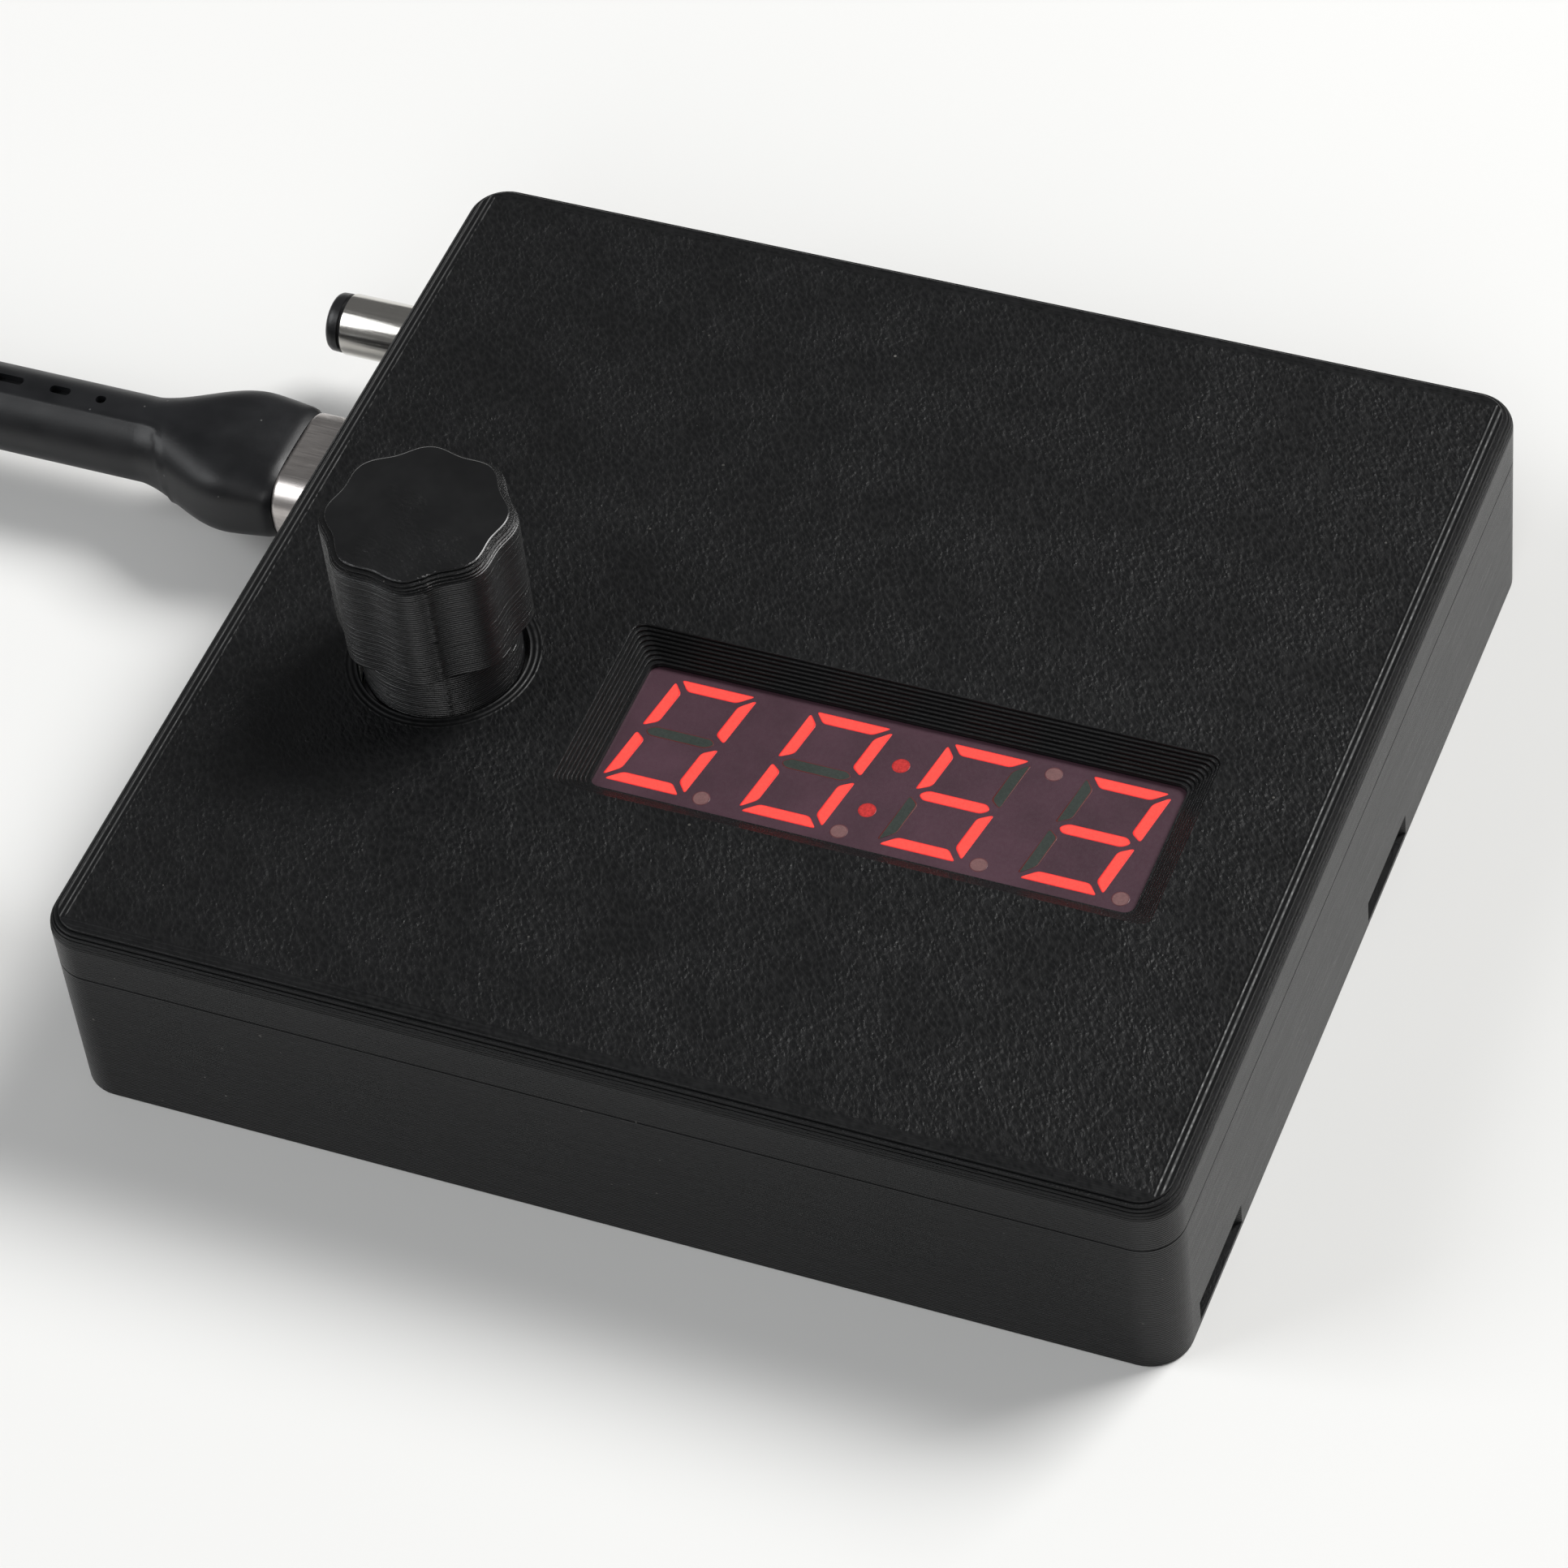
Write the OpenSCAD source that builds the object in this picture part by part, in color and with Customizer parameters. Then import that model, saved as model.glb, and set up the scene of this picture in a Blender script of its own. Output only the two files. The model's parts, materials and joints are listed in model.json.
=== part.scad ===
// Countertop kitchen timer in a two-part printed case: a four-digit LED display under a
// bevelled window, a fluted knob on a push-button rotary encoder, a small barrel connector
// and a plugged-in power cable on the left wall.
// The origin is the middle of the case's underside. X runs along the front, Y to the back.

/* [Case] */
// Width of the case, along X
case_w = 82; // [80:0.5:110]
// Depth of the case, along Y
case_d = 78; // [76:0.5:110]
// Height of the closed case
case_h = 17; // [16.6:0.2:24]
// Height of the seam between base and lid
seam_z = 12.6; // [12:0.1:14]
// Thickness of the side walls
wall = 2.4; // [2:0.1:3]
// Thickness of the floor of the base
floor_t = 2; // [1.8:0.1:3]
// Thickness of the lid's plate
lid_t = 2; // [1.8:0.1:2.4]
// Radius of the upright corners
corner_r = 3; // [2.6:0.1:6]
// Height of one printed layer
layer_h = 0.2; // [0.12:0.04:0.28]
// Number of layers that round the lid's top edge
edge_layers = 6; // [3:1:8]
// Number of layers in the bevel round the display window
bevel_layers = 8; // [4:1:8]
// Step inwards of each layer of the window bevel
bevel_step = 0.225; // [0.15:0.005:0.3]
// Gap all round the tongue that joins the lid to the base
tongue_gap = 0.15; // [0.1:0.05:0.3]

/* [Grip pockets in the right wall] */
// Length of each pocket, along Y
pocket_len = 8.6; // [5:0.1:12]
// Height of each pocket
pocket_h = 1.9; // [1:0.1:3]
// Height of the lip under each pocket
pocket_z = 0.4; // [0.4:0.1:1]
// Depth of each pocket into the wall
pocket_depth = 1.6; // [0.8:0.1:1.6]
// Middle of the front pocket, along Y
pocket_front_y = -30.2; // [-30.6:0.1:-20]
// Middle of the rear pocket, along Y
pocket_rear_y = 6.2; // [0:0.1:25]

/* [Display] */
// Middle of the display, along X
disp_x = 9.75; // [8:0.05:12]
// Middle of the display, along Y
disp_y = -8.2; // [-10:0.1:-7]
// Width of the display housing
disp_w = 40.7; // [40:0.1:42]
// Depth of the display housing
disp_d = 12.8; // [12.4:0.1:14]
// Height of the display housing
disp_h = 7; // [6:0.1:7]
// Distance between digits
digit_pitch = 10.24; // [9.9:0.02:10.3]
// Height of a digit
digit_h = 10.16; // [8:0.02:10.6]
// Width of a digit, before it is slanted
digit_w = 6.2; // [5:0.1:6.2]
// Width of the upright segments
seg_w = 0.9; // [0.8:0.05:1.3]
// Width of the level segments
seg_level = 0.9; // [0.8:0.05:1.3]
// Setback of each segment's ends from the digit's corners
seg_gap = 0.3; // [0.15:0.05:0.4]
// Slant of the digits, in degrees
slant = 10; // [0:1:12]
// Diameter of the round dots
dot_d = 1.3; // [1:0.05:1.5]
// Depth of the clear fillings below the display's face
fill_depth = 0.6; // [0.3:0.1:1]
// Margin of the window inside the display's face
window_margin = 0.35; // [0.2:0.05:0.5]
// Length of the display board
disp_board_w = 42; // [42:0.5:44]
// Depth of the display board
disp_board_d = 24; // [23:0.5:25]

/* [Knob and encoder] */
// Knob axis, along X
knob_x = -24.1; // [-25:0.1:-23]
// Knob axis, along Y
knob_y = -7.2; // [-9:0.1:-5]
// Height of the knob's top above the lid
knob_rise = 14.3; // [13:0.1:18]
// Radius of the knob over its lobes
knob_r = 7.05; // [6.8:0.05:9]
// Depth of the valleys between the lobes
flute_depth = 0.5; // [0.2:0.05:0.9]
// Number of lobes
lobes = 8; // [6:1:12]
// Height of the lobed part of the knob
grip_h = 9.9; // [8:0.1:10.5]
// Number of layers that round the knob's top edge
knob_edge_layers = 5; // [3:1:6]
// Radius of the knob's round skirt
skirt_r = 5.75; // [5.5:0.05:6.2]
// Radial gap between the skirt and its hole in the lid
skirt_gap = 0.3; // [0.2:0.05:0.5]
// Depth of the skirt below the lid's top
skirt_sink = 0.8; // [0.4:0.1:1]
// Radius of the encoder shaft
shaft_r = 3; // [2.9:0.05:3.1]
// Height of the D-shaped flat above the shaft's axis
shaft_flat = 1.5; // [1.2:0.1:2]
// Length of the shaft above the encoder's top
shaft_len = 15; // [13:0.5:16]
// Radial clearance of the shaft in the bushing and the rotor
run_gap = 0.05; // [0.02:0.01:0.08]
// Travel of the push button
press_travel = 0.5; // [0.3:0.05:0.6]
// Side of the encoder's square body
enc_side = 12; // [11.6:0.1:12]
// Height of the encoder's body
enc_h = 6.5; // [6.5:0.1:7]
// Gap between the encoder's top and the lid's plate
enc_drop = 1; // [1:0.1:1.4]

/* [Boards and screws] */
// Thickness of every circuit board
board_t = 1.6; // [1.2:0.1:1.6]
// Length of the main board
main_w = 66; // [60:0.5:68]
// Depth of the main board
main_d = 20.5; // [20:0.5:20.5]
// Front edge of the main board, along Y
main_y = 5; // [5:0.1:6]
// Radius of the shaft of a board screw
board_screw_r = 0.8; // [0.7:0.05:0.9]
// Length of a board screw under its head
board_screw_len = 4; // [3.2:0.2:4]
// Radius of the shaft of a case screw
case_screw_r = 1.25; // [1.2:0.05:1.5]
// Length of a case screw
case_screw_len = 8; // [7:0.5:10]
// Distance of the case screws from the inner walls
case_screw_inset = 3.4; // [3.3:0.1:4]
// Distance of the rear case screws from the middle, along X
rear_screw_x = 20; // [18:0.5:20]

/* [Barrel connector] */
// Outer diameter of the barrel
barrel_d = 4.8; // [4:0.1:5.5]
// Inner bore of the barrel's tip
barrel_bore = 1.7; // [1.3:0.1:2.1]
// Length of the barrel outside the wall
barrel_len = 10.4; // [8:0.1:12]
// Axis of the barrel, along Y
barrel_y = 31; // [30:0.1:31.4]
// Height of the barrel's axis
barrel_z = 6.6; // [6.4:0.1:7]
// Length of the black insulating tip
barrel_tip_len = 1.3; // [0.8:0.1:2]

/* [Power plug and cable] */
// Axis of the plug, along Y
plug_y = 15.4; // [14:0.1:16]
// Width of the plug's metal collar
collar_w = 10.4; // [9.6:0.1:11]
// Height of the plug's metal collar
collar_h = 6.1; // [5.6:0.1:6.4]
// Radius of the collar's long edges
collar_r = 2.6; // [2:0.1:2.8]
// Length of the collar outside the wall
collar_out = 6.4; // [5:0.1:8]
// Gap round the collar in the wall
collar_gap = 0.3; // [0.2:0.05:0.5]
// Length of the moulding with its strain relief
moulding_len = 37.6; // [34:0.2:40]
// Diameter of the cable
cable_d = 3.8; // [3.4:0.1:4.2]
// Middle diameter of the coil
coil_d = 40; // [38:1:46]
// Number of turns side by side in the coil
coil_wide = 4; // [2:1:4]
// Number of layers of turns in the coil
coil_high = 2; // [2:1:3]

/* [Hidden] */
$fn = 48;
eps = 0.01;

// Heights of the stack inside the case
under_z = case_h - lid_t;
disp_z = under_z - disp_h;
disp_board_z = disp_z - board_t;
enc_top_z = under_z - enc_drop;
enc_z = enc_top_z - enc_h;
enc_board_z = enc_z - board_t;
main_boss_h = 1;
main_z = floor_t + main_boss_h;
main_top = main_z + board_t;
boss_h = 2;
pillar_z = floor_t + boss_h;

// Inside of the case
in_w = case_w - 2 * wall;
in_d = case_d - 2 * wall;
in_r = corner_r - wall > 0.6 ? corner_r - wall : 0.6;
lip_t = 1.1;
lip_h = 1.5;

// The knob and its shaft
skirt_z = case_h - skirt_sink;
knob_top = case_h + knob_rise;
grip_z = knob_top - grip_h;
shaft_top = enc_top_z + shaft_len;
bushing_r = shaft_r + 0.5;
bushing_h = 5;
flat_z = enc_top_z + bushing_h + 2.2;
rotor_z = enc_z + 2;
rotor_h = 1.4;
rotor_r = 4.6;
shaft_z = enc_z + 1.6;
shoulder_z = rotor_z + rotor_h + press_travel + run_gap;
shoulder_h = 0.6;
shoulder_r = shaft_r + 0.8;
cavity_top = shoulder_z + shoulder_h + run_gap;
drive_r = shaft_r - 0.8;
drive_flat = 1.4;

// The window in the lid
window_w = disp_w - 2 * window_margin;
window_d = disp_d - 2 * window_margin;

// The plug follows the socket on the main board
socket_h = 3.26;
socket_w = 8.94;
socket_len = 7.35;
plug_z = main_top + socket_h / 2;
collar_x = -case_w / 2 - collar_out;
collar_front = -case_w / 2 + wall - 0.4;

// Screws: heads and the places they sit
board_head_r = 1.9;
board_head_h = 1.3;
screw_gap = 0.15;
screw_hole = board_screw_len - board_t + 0.2;
case_head_r = 2.4;
case_head_h = 1.4;
case_head_z = 0.2;
pillar_r = 3.2;
post_r = 2.2;
insert_r = 1.75;
insert_h = 4;
fsx = in_w / 2 - case_screw_inset;
fsy = in_d / 2 - case_screw_inset;
CASE_SCREWS = [[-fsx, -fsy], [fsx, -fsy], [-rear_screw_x, fsy], [rear_screw_x, fsy]];
dsx = disp_board_w / 2 - 2.5;
dsy = disp_board_d / 2 - 2.4;
DISP_SCREWS = [for (sx = [-1, 1], sy = [-1, 1]) [disp_x + sx * dsx, disp_y + sy * dsy]];
enc_board_w = 24;
enc_board_d = 19;
esx = enc_board_w / 2 - 2.5;
esy = enc_board_d / 2 - 2.5;
ENC_SCREWS = [for (sx = [-1, 1], sy = [-1, 1]) [knob_x + sx * esx, knob_y + sy * esy]];
main_x0 = -in_w / 2 + 0.4;
main_x1 = main_x0 + main_w;
main_y1 = main_y + main_d;
MAIN_SCREWS = [for (x = [main_x0 + 2.6, main_x1 - 2.6], y = [main_y + 2.6, main_y1 - 2.6]) [x, y]];

// Leads between the boards
lead_r = 0.55;
lead_pitch = 1.5;
socket_y = main_y + 3;
display_lead_x = disp_x - 6;
encoder_lead_x = knob_x + 3;
disp_lead_y = disp_y + disp_board_d / 2 - 2.4;
enc_lead_y = knob_y + enc_board_d / 2 - 1.6;
lead_socket_h = 2.6;
lead_gap = 0.4;
barrel_lead_x = -in_w / 2 + 15;
barrel_lead_bend = 3;
barrel_lead_side = 1.2;

// Where the digits' middle lies from the display's
digit_shift = -0.25;
digit_lift = 0.2;

// Digits: which segments are lit in each place, in the order a, b, c, d, e, f, g
ZERO = [1, 1, 1, 1, 1, 1, 0];
THREE = [1, 1, 1, 1, 0, 0, 1];
FIVE = [1, 0, 1, 1, 0, 1, 1];
SHOWN = [ZERO, ZERO, FIVE, THREE];

// The cable's route from the strain relief to the coil, and out of the coil to its far plug
RUN = [[-85, 15.4, 6.2], [-88, 15.4, 6.2], [-91, 15.4, 5.8], [-94, 15.4, 5.1], [-97, 15.4, 4.2],
    [-100, 15.4, 3.3], [-103, 15.4, 2.6], [-107, 15.4, 2.2], [-111, 15.4, 2], [-115, 15.4, 2], [-120, 15.4, 2]];
END = [[-120, -36, 6], [-115, -36, 6], [-111, -36, 5.9], [-107, -36, 5.5], [-104, -36, 5], [-101, -36, 4.4],
    [-97.5, -36, 4], [-94, -36, 4]];
coil_x = -120;
coil_y = 15.4 - (coil_d + (coil_wide - 1) * cable_d) / 2;
coil_z = 0.2;
coil_in = coil_d / 2 - coil_wide * cable_d / 2;
coil_out = coil_d / 2 + coil_wide * cable_d / 2;
coil_top = coil_high * cable_d;
far_x = -94;
far_y = -36;
far_z = 4;
tie_w = 4;
tie_t = 0.8;
tie_gap = 0.25;
far_len = 24;
usb_a_w = 12;
usb_a_h = 4.5;
usb_a_len = 12;

// ---- Shapes used by several parts ----

// A rectangle with round corners
module round_rect(w, d, r) {
    square([w - 2 * r, d], center = true);
    square([w, d - 2 * r], center = true);
    for (sx = [-1, 1], sy = [-1, 1])
        translate([sx * (w / 2 - r), sy * (d / 2 - r)]) circle(r = r);
}

// A flat slab with round corners, standing on z
module slab(w, d, h, r, z) {
    translate([0, 0, z]) linear_extrude(h) round_rect(w, d, r);
}

// A round rod along Z between two heights
module rod(r, z0, z1) {
    translate([0, 0, z0]) cylinder(r = r, h = z1 - z0);
}

// A round rod along X between two places
module rod_x(r, x0, x1) {
    translate([x0, 0, 0]) rotate([0, 90, 0]) cylinder(r = r, h = x1 - x0);
}

// A rounded bar along X between two places, w along Y and h along Z
module bar_x(w, h, r, x0, x1) {
    translate([x0, 0, 0]) rotate([90, 0, 90]) linear_extrude(x1 - x0) round_rect(w, h, r);
}

// A box given by its lower corner and its size, with upright edges left sharp
module block(x, y, z, w, d, h) {
    translate([x, y, z]) cube([w, d, h]);
}

// Inset of layer i of n layers that follow a quarter circle of n layers' radius
function round_inset(i, n) = n * layer_h * (1 - sqrt(1 - pow((i + 0.5) / n, 2)));

// The case's outline as a printed stack that is rounded in steps at its top
module stepped_top(z0, z1, n) {
    slab(case_w, case_d, z1 - z0 - n * layer_h, corner_r, z0);
    for (i = [0:n - 1]) {
        inset = round_inset(i, n);
        slab(case_w - 2 * inset, case_d - 2 * inset, layer_h, corner_r - inset,
            z1 - (n - i) * layer_h);
    }
}

// One ring of points of a tube round the place p, heading along direction t
function tube_ring(p, t, r, sides) =
    let (up = [0, 0, 1], s = cross(t, up) / norm(cross(t, up)), u = cross(s, t))
    [for (k = [0:sides - 1]) p + r * (cos(360 * k / sides) * s + sin(360 * k / sides) * u)];

// A tube of round section along a list of places
module tube(places, r, sides) {
    n = len(places);
    heads = [for (i = [0:n - 1])
        let (d = places[min(i + 1, n - 1)] - places[max(i - 1, 0)]) d / norm(d)];
    skin([for (i = [0:n - 1]) tube_ring(places[i], heads[i], r, sides)], sides);
}

// A closed skin over a list of rings that all have the same number of points
module skin(rings, sides) {
    n = len(rings);
    walls = [for (i = [0:n - 2], k = [0:sides - 1])
        each [[i * sides + k, i * sides + (k + 1) % sides, (i + 1) * sides + (k + 1) % sides],
            [i * sides + k, (i + 1) * sides + (k + 1) % sides, (i + 1) * sides + k]]];
    caps = [[for (k = [sides - 1:-1:0]) k], [for (k = [0:sides - 1]) (n - 1) * sides + k]];
    polyhedron(points = [for (ring = rings) each ring], faces = concat(walls, caps), convexity = 6);
}

// ---- Case ----

module lid_shell() color("#1b1c1f") {
    difference() {
        union() {
            difference() {
                stepped_top(seam_z, case_h, edge_layers);
                slab(in_w, in_d, under_z - seam_z + eps, in_r, seam_z - eps);
                slab(in_w + 2 * (lip_t + tongue_gap), in_d + 2 * (lip_t + tongue_gap),
                    lip_h + tongue_gap + eps, in_r + lip_t + tongue_gap, seam_z - eps);
            }
            for (p = CASE_SCREWS) translate(p) rod(pillar_r, pillar_z, under_z + eps);
            for (p = DISP_SCREWS) translate(p) rod(post_r, disp_z, under_z + eps);
            for (p = ENC_SCREWS) translate(p) rod(post_r, enc_z, under_z + eps);
        }
        translate([disp_x, disp_y]) window_cut();
        translate([knob_x, knob_y]) rod(skirt_r + skirt_gap, under_z - 1, case_h + 1);
        for (p = CASE_SCREWS) translate(p) {
            rod(insert_r, pillar_z - 1, pillar_z + insert_h);
            rod(case_screw_r + screw_gap, pillar_z, case_head_z + case_screw_len + 0.5);
        }
        for (p = DISP_SCREWS) translate(p) rod(board_screw_r, disp_z - 1, disp_z + screw_hole);
        for (p = ENC_SCREWS) translate(p) rod(board_screw_r, enc_z - 1, enc_z + screw_hole);
    }
}

// The window: a straight opening under a bevel of printed steps
module window_cut() {
    slab(window_w, window_d, lid_t + 2, 0.8, under_z - 1);
    for (i = [0:bevel_layers - 1]) {
        grow = 2 * bevel_step * (i + 1);
        slab(window_w + grow, window_d + grow, layer_h * (bevel_layers - i) + eps, 0.8,
            case_h - layer_h * (bevel_layers - i));
    }
}

module base_shell() color("#1e1f22") {
    difference() {
        union() {
            difference() {
                slab(case_w, case_d, seam_z, corner_r, 0);
                slab(in_w, in_d, seam_z, in_r, floor_t);
            }
            tongue();
            for (p = CASE_SCREWS) translate(p) rod(pillar_r, floor_t - eps, pillar_z);
            for (p = MAIN_SCREWS) translate(p) rod(post_r, floor_t - eps, main_z);
            barrel_cradle();
        }
        for (p = CASE_SCREWS) translate(p) {
            rod(case_screw_r + screw_gap, -1, pillar_z + 1);
            rod(case_head_r + screw_gap, -1, case_head_z + case_head_h);
        }
        for (p = MAIN_SCREWS) translate(p) rod(board_screw_r, main_z - screw_hole, main_z + 1);
        for (y = [pocket_front_y, pocket_rear_y]) translate([case_w / 2, y, pocket_z]) grip_pocket();
        translate([0, barrel_y, barrel_z]) rod_x(barrel_d / 2 + barrel_gap, -case_w / 2 - 1, -in_w / 2 + 1);
        translate([0, plug_y, plug_z])
            bar_x(collar_w + 2 * collar_gap, collar_h + 2 * collar_gap, collar_r + collar_gap,
                -case_w / 2 - 1, -in_w / 2 + 1);
    }
}

// The thin rim that stands up inside the lid
module tongue() {
    difference() {
        slab(in_w + 2 * lip_t, in_d + 2 * lip_t, lip_h + 1, in_r + lip_t, seam_z - 1);
        slab(in_w, in_d, lip_h + 3, in_r, seam_z - 2);
    }
}

// A shallow pocket with one slanting end, cut into the wall from outside
module grip_pocket() {
    linear_extrude(pocket_h)
        polygon([[1, -pocket_len / 2], [1, pocket_len / 2 + 1], [0, pocket_len / 2],
            [-pocket_depth, pocket_len / 2 - pocket_depth], [-pocket_depth, -pocket_len / 2]]);
}

// A printed saddle that carries the body of the barrel connector
module barrel_cradle() {
    difference() {
        block(-in_w / 2 - eps, barrel_y - cradle_w / 2, floor_t - eps, barrel_body_len, cradle_w,
            barrel_z - floor_t);
        translate([0, barrel_y, barrel_z]) rod_x(barrel_body_r, -in_w / 2, barrel_body_x1 + 1);
    }
}

module case_screws() color("#8d9094") {
    for (p = CASE_SCREWS) translate(p) {
        difference() {
            union() {
                rod(case_head_r, case_head_z, case_head_z + case_head_h);
                rod(case_screw_r, case_head_z, case_head_z + case_screw_len);
            }
            translate([0, 0, case_head_z - eps]) cylinder(r = 0.9, h = 0.9, $fn = 6);
        }
    }
}

module thread_inserts() color("#c9a24c") {
    for (p = CASE_SCREWS) translate(p) {
        difference() {
            rod(insert_r, pillar_z, pillar_z + insert_h);
            rod(case_screw_r, pillar_z - 1, pillar_z + insert_h + 1);
        }
    }
}

// ---- Display ----

// Segment s of a digit, a to g: mitred at the digit's corners, with the middle one pointed at both ends
module segment(s) {
    w = digit_w / 2;
    h = digit_h / 2;
    gap = seg_gap;
    level = [[-w + gap, h], [-w + seg_w + gap, h - seg_level], [w - seg_w - gap, h - seg_level], [w - gap, h]];
    upright = [[w, h - gap], [w - seg_w, h - seg_level - gap], [w - seg_w, seg_level], [w, gap]];
    tip = w - seg_w / 2;
    side = tip - seg_level / 2;
    if (s == 0) polygon(level);
    if (s == 3) mirror([0, 1]) polygon(level);
    if (s == 1) polygon(upright);
    if (s == 2) mirror([0, 1]) polygon(upright);
    if (s == 5) mirror([1, 0]) polygon(upright);
    if (s == 4) rotate(180) polygon(upright);
    if (s == 6)
        polygon([[-tip, 0], [-side, seg_level / 2], [side, seg_level / 2], [tip, 0], [side, -seg_level / 2],
            [-side, -seg_level / 2]]);
}

// All segments in one state, slanted, on the display's face
module digits(state) {
    for (d = [0:3], s = [0:6])
        if (SHOWN[d][s] == state)
            translate([(d - 1.5) * digit_pitch + digit_shift, digit_lift]) slanted() segment(s);
}

// Leans what it holds to the right by the digits' slant
module slanted() {
    multmatrix([[1, tan(slant), 0, 0], [0, 1, 0, 0], [0, 0, 1, 0], [0, 0, 0, 1]]) children();
}

// The two lit dots of the colon, between the second and third digits
module colon() {
    for (y = [-2.25, 2.25]) translate([y * tan(slant) + digit_shift, y]) circle(d = dot_d);
}

// The dots that stay dark: a point by each digit and one high dot
module dark_dots() {
    for (d = [0:3]) translate([(d - 1.5) * digit_pitch + 3.3, -digit_h / 2 + 0.45]) circle(d = dot_d);
    translate([digit_pitch + 0.3, digit_h / 2 - 0.45]) circle(d = dot_d);
}

// A filling let into the display's face
module filling(z0) {
    translate([disp_x, disp_y, z0]) linear_extrude(under_z - z0) children();
}

module display_housing() color("#3a2c30") {
    difference() {
        translate([disp_x, disp_y]) slab(disp_w, disp_d, disp_h, 0.4, disp_z);
        translate([disp_x, disp_y, under_z - fill_depth]) linear_extrude(1) {
            digits(1);
            digits(0);
            colon();
            dark_dots();
        }
    }
}

module lit_segments() color("#ff4038") {
    filling(under_z - fill_depth) digits(1);
}

module unlit_segments() color("#4a4b4a") {
    filling(under_z - fill_depth) digits(0);
}

module colon_dots() color("#d83c3c") {
    filling(under_z - fill_depth) colon();
}

module unlit_dots() color("#8a5f60") {
    filling(under_z - fill_depth) dark_dots();
}

module display_pins() color("#c8c4b8") {
    for (sy = [-1, 1], i = [0:6])
        translate([disp_x + (i - 3) * 2.54, disp_y + sy * (disp_d / 2 - 1.3), disp_board_z - 1])
            translate([-0.25, -0.25, 0]) cube([0.5, 0.5, board_t + 1]);
}

// A board with a row of screw holes; the pins stay clear of the copper side
module board(w, d, x, y, z, holes, gap) {
    difference() {
        translate([x, y]) slab(w, d, board_t, 0.8, z);
        for (p = holes) translate(p) rod(board_screw_r + gap, z - 1, z + board_t + 1);
        children();
    }
}

module display_board() color("#1f4d36") {
    board(disp_board_w, disp_board_d, disp_x, disp_y, disp_board_z, DISP_SCREWS, 0.2)
        for (sy = [-1, 1], i = [0:6])
            translate([disp_x + (i - 3) * 2.54, disp_y + sy * (disp_d / 2 - 1.3), disp_board_z - 1])
                translate([-0.25, -0.25, 0]) cube([0.5, 0.5, board_t + 2]);
}

chip_w = 12.8;
chip_d = 7.5;
chip_h = 2.1;
module driver_chip() color("#232325") {
    difference() {
        translate([disp_x, disp_y]) slab(chip_w, chip_d, chip_h, 0.3, disp_board_z - chip_h);
        translate([disp_x - chip_w / 2 + 1.2, disp_y - chip_d / 2 + 1.2]) rod(0.5, 0, disp_board_z - chip_h + 0.15);
    }
}

module driver_chip_leads() color("#b9bcc0") {
    for (sy = [-1, 1], i = [0:9])
        translate([disp_x + (i - 4.5) * 1.27, disp_y + sy * (chip_d / 2 + 0.6)])
            block(-0.2, -0.6, disp_board_z - 0.3, 0.4, 1.2, 0.3);
}

// A small white lead socket standing on a board, four ways wide
module lead_socket(x, y, z, ways) {
    w = ways * lead_pitch + 1;
    difference() {
        translate([x, y]) slab(w, 3.6, lead_socket_h, 0.3, z);
        for (i = [0:ways - 1])
            translate([x + (i - (ways - 1) / 2) * lead_pitch, y]) rod(lead_r, z + 1, z + 9);
    }
}

module display_socket() color("#e6e3d8") {
    lead_socket(display_lead_x, disp_lead_y, disp_z, 4);
}

module board_screws() color("#8d9094") {
    for (p = DISP_SCREWS) translate(p) board_screw(disp_board_z, 1);
    for (p = ENC_SCREWS) translate(p) board_screw(enc_board_z, 1);
    for (p = MAIN_SCREWS) translate(p) board_screw(main_top, -1);
}

// A pan-head screw; dir is 1 when it goes up into its hole and -1 when it goes down
module board_screw(z, dir) {
    translate([0, 0, z]) mirror([0, 0, dir > 0 ? 0 : 1]) {
        difference() {
            rod(board_head_r, -board_head_h, 0);
            translate([-0.25, -1.3, -board_head_h - eps]) cube([0.5, 2.6, 0.6]);
            translate([-1.3, -0.25, -board_head_h - eps]) cube([2.6, 0.5, 0.6]);
        }
        rod(board_screw_r, -eps, board_screw_len);
    }
}

// ---- Encoder and knob ----

// A round rod with a flat on one side
module d_rod(r, flat, z0, z1) {
    intersection() {
        rod(r, z0, z1);
        translate([-2 * r, -2 * r, z0 - 1]) cube([4 * r, 2 * r + flat, z1 - z0 + 2]);
    }
}

module encoder_base() color("#2f3033") {
    translate([knob_x, knob_y]) difference() {
        slab(enc_side, enc_side, 2, 0.4, enc_z);
        rod(rotor_r + 0.2, enc_z + 1.4, enc_z + 3);
        rod(2.6, enc_z + 0.8, enc_z + 3);
    }
}

module encoder_cover() color("#b4b7ba") {
    translate([knob_x, knob_y]) difference() {
        union() {
            slab(enc_side, enc_side, enc_h - 2, 0.4, enc_z + 2);
            rod(bushing_r, enc_top_z - eps, enc_top_z + bushing_h);
        }
        rod(rotor_r + 0.2, enc_z + 1, cavity_top);
        rod(shaft_r + run_gap, enc_z + 1, enc_top_z + bushing_h + 1);
    }
}

// The toothed disc that turns with the shaft and lets it slide
module encoder_rotor() color("#d9d6cb") {
    translate([knob_x, knob_y]) difference() {
        rod(rotor_r, rotor_z, rotor_z + rotor_h);
        d_rod(drive_r + run_gap, drive_flat + run_gap, rotor_z - 1, rotor_z + rotor_h + 1);
        for (k = [0:19]) rotate(k * 18 + 9) translate([rotor_r, 0]) rod(0.35, rotor_z - 1, rotor_z + rotor_h + 1);
    }
}

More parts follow.
